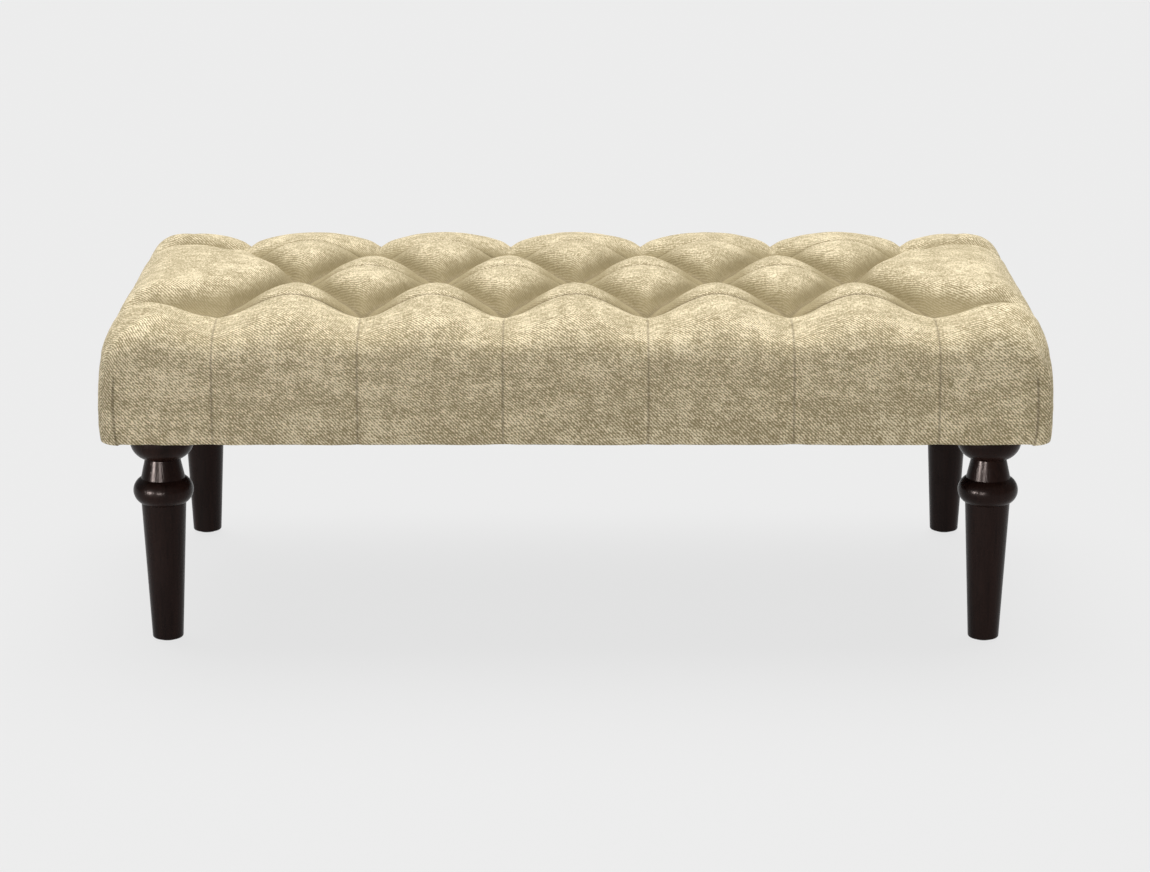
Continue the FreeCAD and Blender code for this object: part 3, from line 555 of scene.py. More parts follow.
    def corner(self, sides):
        """The corner cell: from its tuft to the two pleats beside it, and down to the hem."""
        rings = []
        for k, line in enumerate(self.lines):
            columns = min(k, RING_STEPS)
            radius = self.ring_radius(line)
            length = self.margin - line.inset - radius + radius * math.pi / 4
            ring = []
            for leg in (0, 1):
                gaps = self.leg_gaps(line, columns, length, leg)
                ring.append([self.corner_point(k, j, columns, gap, sides, leg) for j, gap in enumerate(gaps)])
            rings.append(ring)
        for ring, (front, end) in zip(rings, rings[1:]):
            self.strip(ring[0], front)
            self.strip(ring[1], end)
            if len(ring[0]) < len(front):
                self.face([ring[0][-1], front[-2], front[-1], end[-2]])

    def corner_point(self, k, j, columns, gap, sides, leg):
        """One point of a corner leg: leg 0 lies on the front or rear, leg 1 on the end."""
        seat = self.seat
        line = self.lines[k]
        radius = self.ring_radius(line)
        straight = self.margin - line.inset - radius
        turn = max(0.0, gap - straight) / radius if radius > 0.0 else 0.0
        along = self.outer[-1] + min(gap, straight) + radius * math.sin(turn)
        across = COVER_HIGH.y - line.inset - radius * (1.0 - math.cos(turn))
        rear = sides[1] > 0
        first = self.profile(line, gap, leg, rear and leg == 0)
        second = self.profile(line, line.run, 1 - leg, rear and leg == 1)
        depth = line.pleat * (first + second - first * second) + self.pull(math.hypot(gap, line.run))
        depth += self.notch(line, gap, rear and leg == 0)
        depth += self.sunk(line)
        folded = self.folded and leg == 0 and columns == RING_STEPS
        if folded and j >= columns - 2:
            depth -= seat.fold_step * line.fold * (columns - j) / 2
        corner = j / columns if columns else 0.0
        top_share = smooth_step(0.0, self.margin / 2, line.run) * line.lift
        up = line.height - seat.corner_drop * corner ** 3 * top_share - depth * math.sin(line.lean)
        along -= math.cos(line.lean) * depth * math.sin(turn)
        across -= math.cos(line.lean) * depth * math.cos(turn)
        offset = COVER_HIGH.x - COVER_HIGH.y
        x, y = (across + offset, along - offset) if leg else (along, across)
        out_x, out_y = (line.run, gap) if leg else (gap, line.run)
        flat = (sides[0] * (self.outer[-1] + out_x), sides[1] * (seat.row_gap + out_y))
        on_fold = folded and columns - FOLD_COLUMNS <= j < columns - 1
        if j == 0:
            key = flat_key(*flat)
        elif j == columns:
            key = ("corner", sides, k)
        else:
            key = ("leg", sides, k, leg, j)
        place = (sides[0] * x, sides[1] * y, up - self.crown_at(x, y) * line.settle)
        number = self.point(key, place, depth * line.hollow(leg), fold=float(j == 0), held=self.at_hem(k),
                            pleat=line.spread if j == 0 else line.fold * on_fold)
        return number, flat

    def fill(self):
        """Makes every part of the sheet."""
        seat = self.seat
        for side in (-1, 1):
            for x in self.inner:
                self.fan(x, 0.0, side)
            for x in self.outer[1:-1]:
                self.fan(x, side * seat.row_gap, -side)
            self.end_fan(side)
            for start, finish in zip(self.outer[:-1], self.outer[1:]):
                self.panel(start, finish, CELL_STEPS, (0, side))
            self.panel(-seat.row_gap, seat.row_gap, 2 * CELL_STEPS, (1, side))
            for other in (-1, 1):
                self.corner((side, other))
        return self


def plain_sheet(seat, sink, floor):
    """A tufted sheet without creases and corner folds, only down to a height."""
    sheet = TuftedSheet(seat, sink, folded=False)
    sheet.lines = [line for line in sheet.lines if line.height >= floor and line.lean >= 0.0]
    return sheet.fill()


def flat_key(x, y):
    """A name for a place on the flat cloth, to the tenth of a millimetre."""
    return round(x * KEY_STEPS), round(y * KEY_STEPS)


# Meshes


def clear_selection():
    """Deselects everything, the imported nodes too."""
    bpy.ops.object.select_all(action="DESELECT")


def show_alone(piece):
    """Makes a piece the only selected and the active one."""
    clear_selection()
    piece.select_set(True)
    bpy.context.view_layer.objects.active = piece


def new_object(name, data):
    """A new object in the scene."""
    made = bpy.data.objects.new(name, data)
    bpy.context.scene.collection.objects.link(made)
    return made


def apply_modifier(piece, kind, **values):
    """Adds a modifier with its settings, and applies it."""
    show_alone(piece)
    bpy.ops.object.modifier_add(type=kind)
    modifier = piece.modifiers[-1]
    for name, value in values.items():
        setattr(modifier, name, value)
    bpy.ops.object.modifier_apply(modifier=modifier.name)


def close_open_edges(piece, step):
    """Selects a piece's open edges, and closes them with one mesh step."""
    show_alone(piece)
    bpy.ops.object.mode_set(mode="EDIT")
    bpy.ops.mesh.select_mode(type="EDGE")
    bpy.ops.mesh.select_all(action="DESELECT")
    bpy.ops.mesh.select_non_manifold(extend=False, use_wire=False, use_boundary=True,
                                     use_multi_face=False, use_non_contiguous=False, use_verts=False)
    step()
    bpy.ops.object.mode_set(mode="OBJECT")


def sheet_piece(name, sheet):
    """A mesh piece from a tufted sheet, with its marks, flat map and creased folds."""
    mesh = bpy.data.meshes.new(name)
    work = bmesh.new()
    points = [work.verts.new(place) for place in sheet.places]
    flat_map = work.loops.layers.uv.new("cloth")
    for corners, flats in zip(sheet.faces, sheet.maps):
        face = work.faces.new([points[number] for number in corners])
        face.smooth = True
        for loop, flat in zip(face.loops, flats):
            loop[flat_map].uv = flat
    bmesh.ops.recalc_face_normals(work, faces=work.faces)
    top = max(work.faces, key=lambda face: face.calc_center_median().z)
    if top.normal.z < 0.0:
        bmesh.ops.reverse_faces(work, faces=work.faces)
    work.verts.index_update()
    creases = work.edges.layers.float.new("crease_edge")
    for edge in work.edges:
        first, second = (point.index for point in edge.verts)
        edge[creases] = max(weight * min(sheet.marks[mark][first], sheet.marks[mark][second])
                            for mark, weight in CREASE_WEIGHTS.items())
    work.to_mesh(mesh)
    work.free()
    for mark in SHOWN_MARKS:
        mesh.attributes.new(mark, "FLOAT", "POINT").data.foreach_set("value", sheet.marks[mark])
    return new_object(name, mesh)


def blow_up(piece, sheet, seat):
    """Lets the padding push the cloth out between its folds, as a short cloth simulation."""
    group = piece.vertex_groups.new(name="held")
    for number, marks in enumerate(zip(*(sheet.marks[name] for name in ("held", *CREASE_WEIGHTS)))):
        if max(marks) > 0.0:
            group.add([number], min(max(marks), 1.0), "REPLACE")
    show_alone(piece)
    bpy.ops.object.modifier_add(type="CLOTH")
    modifier = piece.modifiers[-1]
    cloth = modifier.settings
    cloth.quality = SIM_QUALITY
    cloth.vertex_group_mass = group.name
    cloth.pin_stiffness = 1.0
    cloth.use_pressure = True
    cloth.uniform_pressure_force = seat.puff_pressure
    cloth.effector_weights.gravity = 0.0
    modifier.collision_settings.use_collision = False
    modifier.point_cache.frame_start = 1
    modifier.point_cache.frame_end = SIM_FRAMES
    scene = bpy.context.scene
    for number in range(1, SIM_FRAMES + 1):
        scene.frame_set(number)
    pushed = piece.evaluated_get(bpy.context.evaluated_depsgraph_get())
    before = read_points(piece.data)
    moved = read_points(pushed.data) - before
    length = np.linalg.norm(moved, axis=1, keepdims=True)
    allowed = seat.puff_cap * np.tanh(length / seat.puff_cap)
    after = before + moved * np.divide(allowed, length, out=np.zeros_like(length), where=length > 0.0)
    bpy.ops.object.modifier_remove(modifier=modifier.name)
    scene.frame_set(1)
    piece.data.vertices.foreach_set("co", after.ravel())
    piece.data.update()
    piece.vertex_groups.clear()


def read_points(mesh):
    """The places of a mesh's points as rows of three numbers."""
    places = np.empty(len(mesh.vertices) * 3)
    mesh.vertices.foreach_get("co", places)
    return places.reshape(-1, 3)


def wrinkle(piece, height):
    """Moves the cloth in and out a little, less in its folds."""
    mesh = piece.data
    fold = np.empty(len(mesh.vertices))
    mesh.attributes["fold"].data.foreach_get("value", fold)
    ways = np.empty(len(mesh.vertices) * 3)
    mesh.vertex_normals.foreach_get("vector", ways)
    places = read_points(mesh)
    waves = np.array([small_wave(Vector(place)) for place in places])
    moves = ways.reshape(-1, 3) * (height * waves * (1.0 - FOLD_CALM * fold))[:, None]
    mesh.vertices.foreach_set("co", (places + moves).ravel())
    mesh.update()


def small_wave(place):
    """A slow and a quick wave in the cloth."""
    quick = Vector([part * scale for part, scale in zip(place, QUICK_WAVES)])
    return SLOW_SHARE * noise.noise(place * SLOW_WAVES) + QUICK_SHARE * noise.noise(quick)


def line_with(piece, coarse, thickness):
    """Closes a cloth piece with an inner face, made from its coarse mesh."""
    liner = new_object("cloth_liner", coarse)
    show_alone(liner)
    bpy.ops.object.mode_set(mode="EDIT")
    bpy.ops.mesh.select_all(action="SELECT")
    bpy.ops.transform.shrink_fatten(value=-thickness)
    bpy.ops.mesh.flip_normals()
    bpy.ops.object.mode_set(mode="OBJECT")
    show_alone(piece)
    liner.select_set(True)
    bpy.ops.object.join()
    close_open_edges(piece, bpy.ops.mesh.bridge_edge_loops)


def declare(piece, node, material):
    """Ties a new piece to the frame, and gives it its material."""
    piece.data.materials.clear()
    piece.data.materials.append(material)
    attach(piece, BODY)
    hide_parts(node)


# Shader nodes


def add_node(tree, kind, inputs=None, **values):
    """A shader node with its settings, and its inputs set or linked."""
    made = tree.nodes.new(kind)
    for name, value in values.items():
        setattr(made, name, value)
    for name, value in (inputs or {}).items():
        socket = made.inputs[name]
        if isinstance(value, bpy.types.NodeSocket):
            tree.links.new(value, socket)
        else:
            socket.default_value = value
    return made


def math_node(tree, operation, first, second=0.0, clamp=False):
    """One step of arithmetic."""
    made = add_node(tree, "ShaderNodeMath", {0: first, 1: second}, operation=operation, use_clamp=clamp)
    return made.outputs[0]


def weighted_sum(tree, first, *others, clamp=False):
    """The sum of pairs of a value and its weight."""
    total = math_node(tree, "MULTIPLY", *first)
    for value, weight in others:
        total = math_node(tree, "ADD", total, math_node(tree, "MULTIPLY", value, weight), clamp)
    return total


def vector_node(tree, operation, first, inputs):
    """One step of arithmetic on a vector."""
    made = add_node(tree, "ShaderNodeVectorMath", {0: first, **inputs}, operation=operation)
    return made.outputs[0]


def noise_node(tree, vector, scale, detail=3.0, roughness=0.5):
    """A soft noise value round one half: a scale with three parts stretches it."""
    if isinstance(scale, tuple):
        vector = vector_node(tree, "MULTIPLY", vector, {1: scale})
        scale = 1.0
    inputs = {"Vector": vector, "Scale": scale, "Detail": detail, "Roughness": roughness}
    return add_node(tree, "ShaderNodeTexNoise", inputs).outputs[0]


def ramp(tree, value, low, high, low_out=0.0, high_out=1.0, curve="SMOOTHSTEP"):
    """A value brought from one range to another."""
    inputs = {"Value": value, "From Min": low, "From Max": high, "To Min": low_out, "To Max": high_out}
    return add_node(tree, "ShaderNodeMapRange", inputs, interpolation_type=curve).outputs[0]


def mixed(tree, weight, first, second):
    """A colour between two others."""
    made = add_node(tree, "ShaderNodeMix", {0: weight, 6: first, 7: second}, data_type="RGBA")
    return made.outputs[2]


def new_group(name, colours, numbers):
    """A shader node group with a place, named colours and named numbers, and its two end nodes."""
    group = bpy.data.node_groups.new(name, "ShaderNodeTree")
    sockets = [("Place", "INPUT", "NodeSocketVector")]
    sockets += [(label, "INPUT", "NodeSocketColor") for label in colours]
    sockets += [(label, "INPUT", "NodeSocketFloat") for label in numbers]
    sockets += [("Colour", "OUTPUT", "NodeSocketColor")]
    sockets += [(label, "OUTPUT", "NodeSocketFloat") for label in ("Height", "Roughness")]
    for label, way, kind in sockets:
        group.interface.new_socket(name=label, in_out=way, socket_type=kind)
    entry = group.nodes.new("NodeGroupInput").outputs
    leave = group.nodes.new("NodeGroupOutput").inputs
    return group, entry, leave


def end_group(group, leave, colour, height, roughness):
    """Joins a group's results to its outputs."""
    for label, value in (("Colour", colour), ("Height", height), ("Roughness", roughness)):
        group.links.new(value, leave[label])
    return group


def weave_group(name):
    """Twill cloth with slubs and worn patches, on flat cloth coordinates in metres."""
    group, entry, leave = new_group(name, ("Pale", "Deep"), ("Twill pitch", "Slubs"))
    place = entry["Place"]
    parts = add_node(group, "ShaderNodeSeparateXYZ", {0: place}).outputs
    slant = math_node(group, "ADD", parts[0], parts[1])
    turns = math_node(group, "DIVIDE", slant, entry["Twill pitch"])
    sway = noise_node(group, place, RIB_SWAY_SCALE, 2.0)
    rib = math_node(group, "SINE", weighted_sum(group, (turns, RIB_TURN), (sway, RIB_SWAY)))
    weft = ramp(group, noise_node(group, place, WEFT_SIZES, 3.0, 0.7), *THREAD_RANGE)
    warp = ramp(group, noise_node(group, place, WARP_SIZES, 3.0, 0.7), *THREAD_RANGE)
    slub = ramp(group, noise_node(group, place, SLUB_SIZES, 2.0), *SLUB_RANGE)
    wide = noise_node(group, place, WIDE_PATCH_SIZES, 4.0, 0.6)
    tall = noise_node(group, place, TALL_PATCH_SIZES, 4.0, 0.6)
    patch = math_node(group, "MULTIPLY", wide, tall)
    worn = ramp(group, patch, *WORN_RANGE)
    streak = math_node(group, "MULTIPLY", slub, entry["Slubs"])
    tone = weighted_sum(group, (worn, 0.42), (rib, 0.46), (weft, 0.54), (warp, 0.47), (streak, 0.32))
    tone = math_node(group, "SUBTRACT", tone, WEAVE_DEEPENED, clamp=True)
    height = weighted_sum(group, (rib, 0.30), (weft, 0.45), (warp, 0.35), (slub, 0.5))
    roughness = ramp(group, patch, 0.15, 0.40, 0.82, 0.94)
    return end_group(group, leave, mixed(group, tone, entry["Deep"], entry["Pale"]), height, roughness)


def grain_group(name):
    """Wood grain that runs along Z of the place it is given."""
    group, entry, leave = new_group(name, ("Light", "Dark"), ("Fineness", "Smooth", "Rough"))
    sized = vector_node(group, "SCALE", entry["Place"], {"Scale": entry["Fineness"]})
    figure = noise_node(group, sized, FIGURE_SIZES, 5.0, 0.6)
    marks = ramp(group, noise_node(group, sized, PORE_SIZES, 2.0), 0.50, 0.70)
    tone = weighted_sum(group, (ramp(group, figure, 0.32, 0.70), 0.75), (marks, 0.35), clamp=True)
    height = math_node(group, "SUBTRACT", math_node(group, "MULTIPLY", figure, 0.4), marks)
    blotch = noise_node(group, entry["Place"], BLOTCH_SCALE)
    roughness = ramp(group, blotch, 0.3, 0.7, entry["Smooth"], entry["Rough"], "LINEAR")
    return end_group(group, leave, mixed(group, tone, entry["Light"], entry["Dark"]), height, roughness)


def fibre_group(name):
    """Matted fibres or cells: fleece, felt, foam, twine and pressed fibre."""
    group, entry, leave = new_group(name, ("Light", "Dark"), ("Fineness",))
    sized = vector_node(group, "SCALE", entry["Place"], {"Scale": entry["Fineness"]})
    strands = noise_node(group, sized, 1.0, 4.0, 0.65)
    cells = add_node(group, "ShaderNodeTexVoronoi", {"Vector": sized, "Scale": CELL_SCALE}).outputs[0]
    clouds = noise_node(group, entry["Place"], CLOUD_SCALE)
    tone = weighted_sum(group, (ramp(group, strands, 0.3, 0.7), 0.6), (clouds, 0.4), clamp=True)
    height = math_node(group, "ADD", strands, math_node(group, "MULTIPLY", cells, 0.5))
    roughness = ramp(group, strands, 0.3, 0.7, 0.98, 0.84)
    return end_group(group, leave, mixed(group, tone, entry["Dark"], entry["Light"]), height, roughness)


def worn_metal_group(name):
    """Plated metal or moulded plastic with fine scuffs."""
    group, entry, leave = new_group(name, ("Bright", "Dull"), ("Smooth", "Rough"))
    cloud = noise_node(group, entry["Place"], TARNISH_SCALE, 4.0, 0.6)
    scuffs = noise_node(group, entry["Place"], SCUFF_SIZES)
    tone = weighted_sum(group, (cloud, 0.6), (scuffs, 0.4))
    colour = mixed(group, ramp(group, tone, *SCUFF_RANGE), entry["Bright"], entry["Dull"])
    roughness = ramp(group, tone, *SCUFF_RANGE, entry["Smooth"], entry["Rough"], "LINEAR")
    return end_group(group, leave, colour, scuffs, roughness)


def shared_group(name, maker):
    """A node group that is made once and then used again."""
    return bpy.data.node_groups.get(name) or maker(name)


# Materials


def opaque(colour):
    """A colour with full alpha, for a node's socket."""
    return (*colour, 1.0)


def new_material(name, plain, shading):
    """A material with plain values on its shader, and the colour it has in a plain view."""
    material = bpy.data.materials.new(name)
    material.use_nodes = True
    material.diffuse_color = opaque(plain)
    shader = material.node_tree.nodes["Principled BSDF"]
    for label, value in shading.items():
        shader.inputs[label].default_value = value
    return material, material.node_tree, shader


def surface(tree, shader, group, values, bump_distance, bump_strength):
    """Places a group in a material, and joins its colour, roughness and height to the shader."""
    placed = add_node(tree, "ShaderNodeGroup", values, node_tree=group)
    tree.links.new(placed.outputs["Colour"], shader.inputs["Base Color"])
    tree.links.new(placed.outputs["Roughness"], shader.inputs["Roughness"])
    bump = add_node(tree, "ShaderNodeBump", {"Strength": bump_strength, "Distance": bump_distance,
                                             "Height": placed.outputs["Height"]})
    tree.links.new(bump.outputs[0], shader.inputs["Normal"])
    return placed


def object_place(tree, turn):
    """Object coordinates, turned so that a pattern's Z runs along the piece."""
    place = tree.nodes.new("ShaderNodeTexCoord").outputs["Object"]
    return add_node(tree, "ShaderNodeMapping", {"Vector": place, "Rotation": turn}).outputs[0]


def attribute(tree, name):
    """A mark that the cloth's points carry."""
    return add_node(tree, "ShaderNodeAttribute", attribute_name=name).outputs["Fac"]


def linen_material(cloth):
    """The cover cloth: beige twill, with painted shade in its folds, pleats, creases and hollows."""
    shading = {"Sheen Weight": 0.2, "Sheen Roughness": 0.35, "Sheen Tint": opaque(cloth.sheen),
               "Specular IOR Level": 0.25}
    material, tree, shader = new_material("beige_slubbed_linen", cloth.pale, shading)
    flat = add_node(tree, "ShaderNodeUVMap", uv_map="cloth").outputs[0]
    values = {"Place": flat, "Pale": opaque(cloth.pale), "Deep": opaque(cloth.deep),
              "Twill pitch": cloth.twill_pitch, "Slubs": cloth.slubs}
    group = shared_group("Slubbed twill", weave_group)
    placed = surface(tree, shader, group, values, bump_distance=0.0006, bump_strength=0.55)
    hollow = attribute(tree, "hollow")
    # Painted shade: a thin dark line along the pleats and the corner fold lines.
    painted_pleat_shade = ramp(tree, attribute(tree, "pleat"), 0.72, 1.0, high_out=0.50)
    # Painted shade: a dark line along the crease from tuft to tuft, where the fold shades itself.
    painted_crease_shade = ramp(tree, attribute(tree, "row_crease"), 0.40, 1.0, high_out=0.78)
    # Painted shade: darker along the fold lines deep in the seat's hollows.
    painted_valley_shade = math_node(tree, "MULTIPLY", attribute(tree, "fold"), hollow)
    painted_valley_shade = ramp(tree, painted_valley_shade, 0.35, 1.0, high_out=0.40)
    # The strongest of the painted shade lines at each point.
    shade = math_node(tree, "MAXIMUM", math_node(tree, "MAXIMUM", painted_pleat_shade, painted_crease_shade), painted_valley_shade)
    # Painted shade: the cloth turns towards the deep thread colour the deeper it lies in a hollow.
    painted_hollow_shade = ramp(tree, hollow, 0.10, 0.75, high_out=0.85)
    colour = mixed(tree, painted_hollow_shade, placed.outputs["Colour"], opaque(cloth.deep))
    # Painted shade: mixes the cloth towards the fold shade colour along its fold, pleat and crease lines.
    colour = mixed(tree, shade, colour, opaque(cloth.fold_shade))
    tree.links.new(colour, shader.inputs["Base Color"])
    return material


def wood_material(name, light, dark, turn, fineness, smooth, rough, specular, bump):
    """Timber with its grain along one axis."""
    material, tree, shader = new_material(name, light, {"Specular IOR Level": specular})
    values = {"Place": object_place(tree, turn), "Light": opaque(light), "Dark": opaque(dark),
              "Fineness": fineness, "Smooth": smooth, "Rough": rough}
    surface(tree, shader, shared_group("Wood grain", grain_group), values, bump, bump_strength=0.5)
    return material


def fibre_material(name, light, dark, fineness, bump):
    """A matted, matt material."""
    material, tree, shader = new_material(name, light, {"Specular IOR Level": 0.2})
    values = {"Place": object_place(tree, UPRIGHT), "Light": opaque(light), "Dark": opaque(dark),
              "Fineness": fineness}
    surface(tree, shader, shared_group("Matted fibre", fibre_group), values, bump, bump_strength=1.0)
    return material


def plated_material(name, bright, dull, smooth, rough, metal):
    """Metal or plastic with fine scuffs."""
    material, tree, shader = new_material(name, bright, {"Metallic": metal})
    values = {"Place": object_place(tree, UPRIGHT), "Bright": opaque(bright), "Dull": opaque(dull),
              "Smooth": smooth, "Rough": rough}
    group = shared_group("Scuffed plating", worn_metal_group)
    surface(tree, shader, group, values, bump_distance=0.0001, bump_strength=0.4)
    return material


def finish_nodes(names, material):
    """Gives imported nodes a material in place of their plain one."""
    for name in names:
        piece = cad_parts[name]
        if not piece.data.materials:
            piece.data.materials.append(material)
        for number in range(len(piece.data.materials)):
            piece.data.materials[number] = material


def nodes_ending(*endings):
    """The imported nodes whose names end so."""
    return [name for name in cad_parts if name.endswith(endings)]


# Operators


class FOOTSTOOL_OT_cover(bpy.types.Operator):
    """Makes the tufted cover cloth and blows it up between its folds."""

    bl_idname = "footstool.cover"
    bl_label = "Tufted cover"

    def execute(self, context):
        seat = settings("footstool_seat")
        sheet = TuftedSheet(seat, sink=seat.start_sink).fill()
        piece = sheet_piece("tufted_cover_cloth", sheet)
        blow_up(piece, sheet, seat)
        coarse = piece.data.copy()
        apply_modifier(piece, "SUBSURF", levels=1, render_levels=1)
        wrinkle(piece, seat.wrinkle_height)
        line_with(piece, coarse, seat.cloth_thickness)
        declare(piece, "tufted_cover", linen_material(settings("footstool_cloth")))
        return {"FINISHED"}


class FOOTSTOOL_OT_filling(bpy.types.Operator):
    """Makes the wadding and the foam under the cover."""

    bl_idname = "footstool.filling"
    bl_label = "Wadding and foam"

    def execute(self, context):
        seat = settings("footstool_seat")
        under_cloth = seat.start_sink + seat.cloth_thickness + seat.wadding_gap
        wadding = sheet_piece("wadding_layer", plain_sheet(seat, under_cloth, COVER_LOW.z))
        apply_modifier(wadding, "SOLIDIFY", thickness=seat.wadding_thickness, offset=-1.0)
        fleece = fibre_material("white_fleece", light=(0.86, 0.85, 0.82), dark=(0.70, 0.69, 0.66),
                                fineness=420.0, bump=0.0012)
        declare(wadding, "wadding", fleece)
        under_wadding = under_cloth + seat.wadding_thickness
        foam = sheet_piece("foam_block", plain_sheet(seat, under_wadding, DECK_TOP))
        close_open_edges(foam, bpy.ops.mesh.edge_face_add)
        cells = fibre_material("yellow_foam", light=(0.80, 0.66, 0.34), dark=(0.62, 0.48, 0.22),
                               fineness=900.0, bump=0.0008)
        declare(foam, "foam_pad", cells)
        return {"FINISHED"}


class FOOTSTOOL_OT_dust_cloth(bpy.types.Operator):
    """Makes the dust cloth under the seat, with a turned edge and a slight sag."""

    bl_idname = "footstool.dust_cloth"
    bl_label = "Dust cloth"

    def execute(self, context):
        width = SHEET_HIGH.x - SHEET_LOW.x
        depth = SHEET_HIGH.y - SHEET_LOW.y
        clear_selection()
        bpy.ops.mesh.primitive_grid_add(x_subdivisions=round(width / SHEET_GRID),
                                        y_subdivisions=round(depth / SHEET_GRID), size=1.0, calc_uvs=False)
        piece = bpy.context.active_object
        piece.name = "dust_cloth_sheet"
        for point in piece.data.vertices:
            point.co = self.place(point.co.x * width, point.co.y * depth, width, depth)
        show_alone(piece)
        bpy.ops.object.shade_smooth()
        apply_modifier(piece, "SOLIDIFY", thickness=SHEET_THICKNESS, offset=0.0)
        dark = settings("footstool_cloth").dust_cloth
        pale = tuple(DUST_CONTRAST * part for part in dark)
        felt = fibre_material("black_dust_cloth", pale, dark, fineness=700.0, bump=0.0003)
        declare(piece, "dust_cover", felt)
        return {"FINISHED"}

    def place(self, x, y, width, depth):
        """Where a point of the flat cloth hangs: its corners are rounded and its edge is turned over."""
        over_x = abs(x) - (width / 2 - SHEET_ROUNDING)
        over_y = abs(y) - (depth / 2 - SHEET_ROUNDING)
        if over_x > 0.0 and over_y > 0.0:
            pull = max(over_x, over_y) / math.hypot(over_x, over_y)
            x -= math.copysign(over_x * (1.0 - pull), x)
            y -= math.copysign(over_y * (1.0 - pull), y)
        edge = min(width / 2 - abs(x), depth / 2 - abs(y))
        hang = SHEET_SAG * (1.0 - (2.0 * x / width) ** 2) * (1.0 - (2.0 * y / depth) ** 2)
        wave = noise.noise(Vector((x * RIPPLE_SCALE, y * RIPPLE_SCALE, 0.0)))
        ripple = RIPPLE_HEIGHT * wave * smooth_step(*RIPPLE_STARTS, edge)
        fold = TURNED_EDGE_STEP * (1.0 - smooth_step(*TURNED_EDGE_ENDS, edge))
        return x, y, SHEET_LOW.z + SHEET_THICKNESS - hang + ripple - fold


class FOOTSTOOL_OT_wood(bpy.types.Operator):
    """Stains the legs and finishes the frame timber."""

    bl_idname = "footstool.wood"
    bl_label = "Legs and frame timber"

    def execute(self, context):
        wood = settings("footstool_wood")
        stained = wood_material("espresso_stain", wood.stain_light, wood.stain_dark, UPRIGHT, fineness=1.0,
                                smooth=0.24, rough=0.31, specular=0.09, bump=0.00012)
        finish_nodes(nodes_ending("_leg"), stained)
        for name, turn, fineness, smooth, rough, nodes in (
                ("frame_timber_long", LENGTHWAYS, 1.0, 0.6, 0.75, ("front_rail", "rear_rail", "rail_dowels")),
                ("frame_timber_cross", CROSSWAYS, 1.0, 0.6, 0.75,
                 ("left_rail", "right_rail", "left_cross_brace", "right_cross_brace")),
                ("block_timber", UPRIGHT, 1.6, 0.6, 0.75, nodes_ending("_corner_block")),
                ("birch_ply", LENGTHWAYS, 0.6, 0.55, 0.7, ("seat_deck",))):
            timber = wood_material(name, wood.frame_light, wood.frame_dark, turn, fineness, smooth, rough,
                                   specular=0.3, bump=0.0004)
            finish_nodes(nodes, timber)
        return {"FINISHED"}


class FOOTSTOOL_OT_hardware(bpy.types.Operator):
    """Finishes the screws, bolts, plates, staples, glides, twines and washers."""

    bl_idname = "footstool.hardware"
    bl_label = "Hardware"

    def execute(self, context):
        zinc = plated_material("zinc_plate", bright=(0.72, 0.73, 0.75), dull=(0.48, 0.49, 0.51),
                               smooth=0.24, rough=0.48, metal=1.0)
        nylon = plated_material("black_nylon", bright=(0.030, 0.030, 0.032), dull=(0.016, 0.016, 0.017),
                                smooth=0.38, rough=0.55, metal=0.0)
        twine = fibre_material("waxed_twine", light=(0.64, 0.55, 0.38), dark=(0.40, 0.32, 0.20),
                               fineness=1400.0, bump=0.0004)
        washer = fibre_material("pressed_fibre", light=(0.36, 0.25, 0.15), dark=(0.22, 0.14, 0.08),
                                fineness=800.0, bump=0.0004)
        finish_nodes(nodes_ending("_screws", "_staples", "_hanger_bolt", "_leg_plate"), zinc)
        finish_nodes(nodes_ending("_foot_glide"), nylon)
        finish_nodes(["tuft_twines"], twine)
        finish_nodes(["tuft_anchors"], washer)
        return {"FINISHED"}


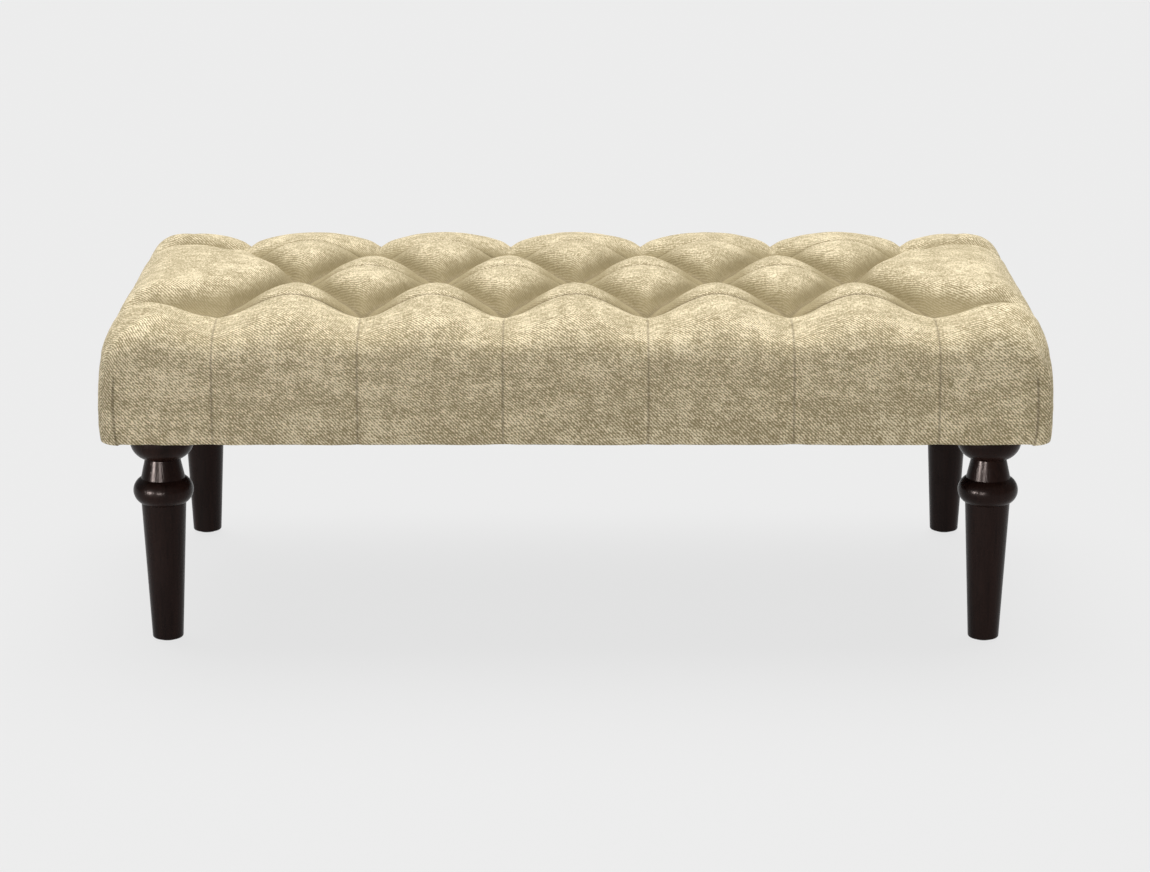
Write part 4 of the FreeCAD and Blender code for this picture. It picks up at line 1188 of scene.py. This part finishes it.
class FOOTSTOOL_OT_studio(bpy.types.Operator):
    """Sets the floor, the lamps and the camera."""

    bl_idname = "footstool.studio"
    bl_label = "Studio"

    def execute(self, context):
        studio = settings("footstool_studio")
        scene = context.scene
        scene.view_settings.view_transform = "Standard"
        self.floor(studio)
        self.sky(scene, studio)
        self.broad_light(studio)
        self.lamp("glint_lamp_side", place=(-2.74, -2.24, 0.75), aim=LEG_AIM, size=(0.34, 0.26),
                  power=studio.glint, glint=True)
        self.lamp("glint_lamp_near", place=(-0.98, -3.20, 0.75), aim=LEG_AIM, size=(0.14, 0.26),
                  power=studio.glint / 2, glint=True)
        self.lamp("front_fill", place=(0.0, -4.2, 0.9), aim=SEAT_AIM, size=(2.4, 0.8),
                  power=studio.fill, glint=False)
        self.camera(scene, studio)
        return {"FINISHED"}

    def show_mix(self, tree, output, weight, first, second):
        """Sends a mix of two shaders to a tree's output."""
        both = add_node(tree, "ShaderNodeMixShader", {0: weight, 1: first.outputs[0], 2: second.outputs[0]})
        add_node(tree, output, {"Surface": both.outputs[0]})

    def floor(self, studio):
        """A plain pale floor that shows a light shadow."""
        clear_selection()
        bpy.ops.mesh.primitive_plane_add(size=FLOOR_SIZE, location=(0.0, 0.0, -FLOOR_DROP))
        plane = bpy.context.active_object
        plane.name = "studio_floor"
        material = bpy.data.materials.new("pale_floor")
        material.use_nodes = True
        tree = material.node_tree
        tree.nodes.clear()
        matt = add_node(tree, "ShaderNodeBsdfDiffuse", {"Color": opaque(studio.floor_matt)})
        glow = add_node(tree, "ShaderNodeEmission", {"Color": opaque(studio.floor), "Strength": 1.0})
        path = tree.nodes.new("ShaderNodeLightPath").outputs
        seen = math_node(tree, "MAXIMUM", path["Is Camera Ray"], path["Is Glossy Ray"])
        seen = math_node(tree, "MAXIMUM", seen, path["Is Transmission Ray"])
        weight = math_node(tree, "MULTIPLY", seen, 1.0 - studio.shadow)
        self.show_mix(tree, "ShaderNodeOutputMaterial", weight, matt, glow)
        plane.data.materials.append(material)

    def sky(self, scene, studio):
        """Even light from all round, which the camera sees in the backdrop's colour."""
        world = bpy.data.worlds.new("studio_sky")
        scene.world = world
        world.use_nodes = True
        tree = world.node_tree
        tree.nodes.clear()
        light = add_node(tree, "ShaderNodeBackground", {"Color": opaque(WHITE), "Strength": studio.sky})
        seen = add_node(tree, "ShaderNodeBackground", {"Color": opaque(studio.backdrop), "Strength": 1.0})
        path = tree.nodes.new("ShaderNodeLightPath").outputs
        self.show_mix(tree, "ShaderNodeOutputWorld", path["Is Camera Ray"], light, seen)

    def broad_light(self, studio):
        """One broad, even light from above and a little behind."""
        data = bpy.data.lights.new("key_light", "SUN")
        data.energy = studio.key
        data.angle = studio.key_spread
        light = new_object("key_light", data)
        light.rotation_euler = Vector(KEY_WAY).to_track_quat("Z", "Y").to_euler()

    def lamp(self, name, place, aim, size, power, glint):
        """A rectangular lamp aimed at a point: it shows only as a glint, or only lights."""
        data = bpy.data.lights.new(name, "AREA")
        data.shape = "RECTANGLE"
        data.size, data.size_y = size
        data.energy = power
        data.color = GLINT_TINT if glint else WHITE
        lamp = new_object(name, data)
        lamp.visible_diffuse = not glint
        lamp.visible_glossy = glint
        lamp.location = place
        lamp.rotation_euler = (Vector(aim) - Vector(place)).to_track_quat("-Z", "Y").to_euler()

    def camera(self, scene, studio):
        """The camera at the photograph's place."""
        data = bpy.data.cameras.new("photo_camera")
        data.sensor_width = SENSOR_WIDTH
        data.lens = studio.focal_pixels / PHOTO_WIDTH * SENSOR_WIDTH
        data.shift_x = studio.sideways
        camera = new_object("photo_camera", data)
        camera.location = (0.0, -studio.camera_back, studio.camera_height)
        camera.rotation_euler = (math.pi / 2 - studio.camera_pitch, 0.0, 0.0)
        scene.camera = camera


OPERATORS = (FOOTSTOOL_OT_cover, FOOTSTOOL_OT_filling, FOOTSTOOL_OT_dust_cloth, FOOTSTOOL_OT_wood,
             FOOTSTOOL_OT_hardware, FOOTSTOOL_OT_studio)


class FOOTSTOOL_PT_panel(bpy.types.Panel):
    """Lists the footstool's steps and settings."""

    bl_label = "Footstool"
    bl_idname = "FOOTSTOOL_PT_panel"
    bl_space_type = "VIEW_3D"
    bl_region_type = "UI"
    bl_category = "Footstool"

    def draw(self, context):
        for step in OPERATORS:
            self.layout.operator(step.bl_idname)
        for name, group in SETTINGS.items():
            box = self.layout.box()
            for part in group.__annotations__:
                box.prop(getattr(context.scene, name), part)


SETTINGS = {
    "footstool_seat": SeatSettings,
    "footstool_cloth": ClothSettings,
    "footstool_wood": WoodSettings,
    "footstool_studio": StudioSettings,
}


def register():
    """Adds the settings, the steps and the panel."""
    for name, group in SETTINGS.items():
        bpy.utils.register_class(group)
        setattr(bpy.types.Scene, name, PointerProperty(type=group))
    for step in (*OPERATORS, FOOTSTOOL_PT_panel):
        bpy.utils.register_class(step)


def unregister():
    """Takes them away again."""
    for step in reversed((*OPERATORS, FOOTSTOOL_PT_panel)):
        bpy.utils.unregister_class(step)
    for name, group in SETTINGS.items():
        delattr(bpy.types.Scene, name)
        bpy.utils.unregister_class(group)


def main():
    """Dresses the footstool step by step."""
    register()
    bpy.ops.footstool.cover()
    bpy.ops.footstool.filling()
    bpy.ops.footstool.dust_cloth()
    bpy.ops.footstool.wood()
    bpy.ops.footstool.hardware()
    bpy.ops.footstool.studio()


if __name__ == "__main__":
    main()
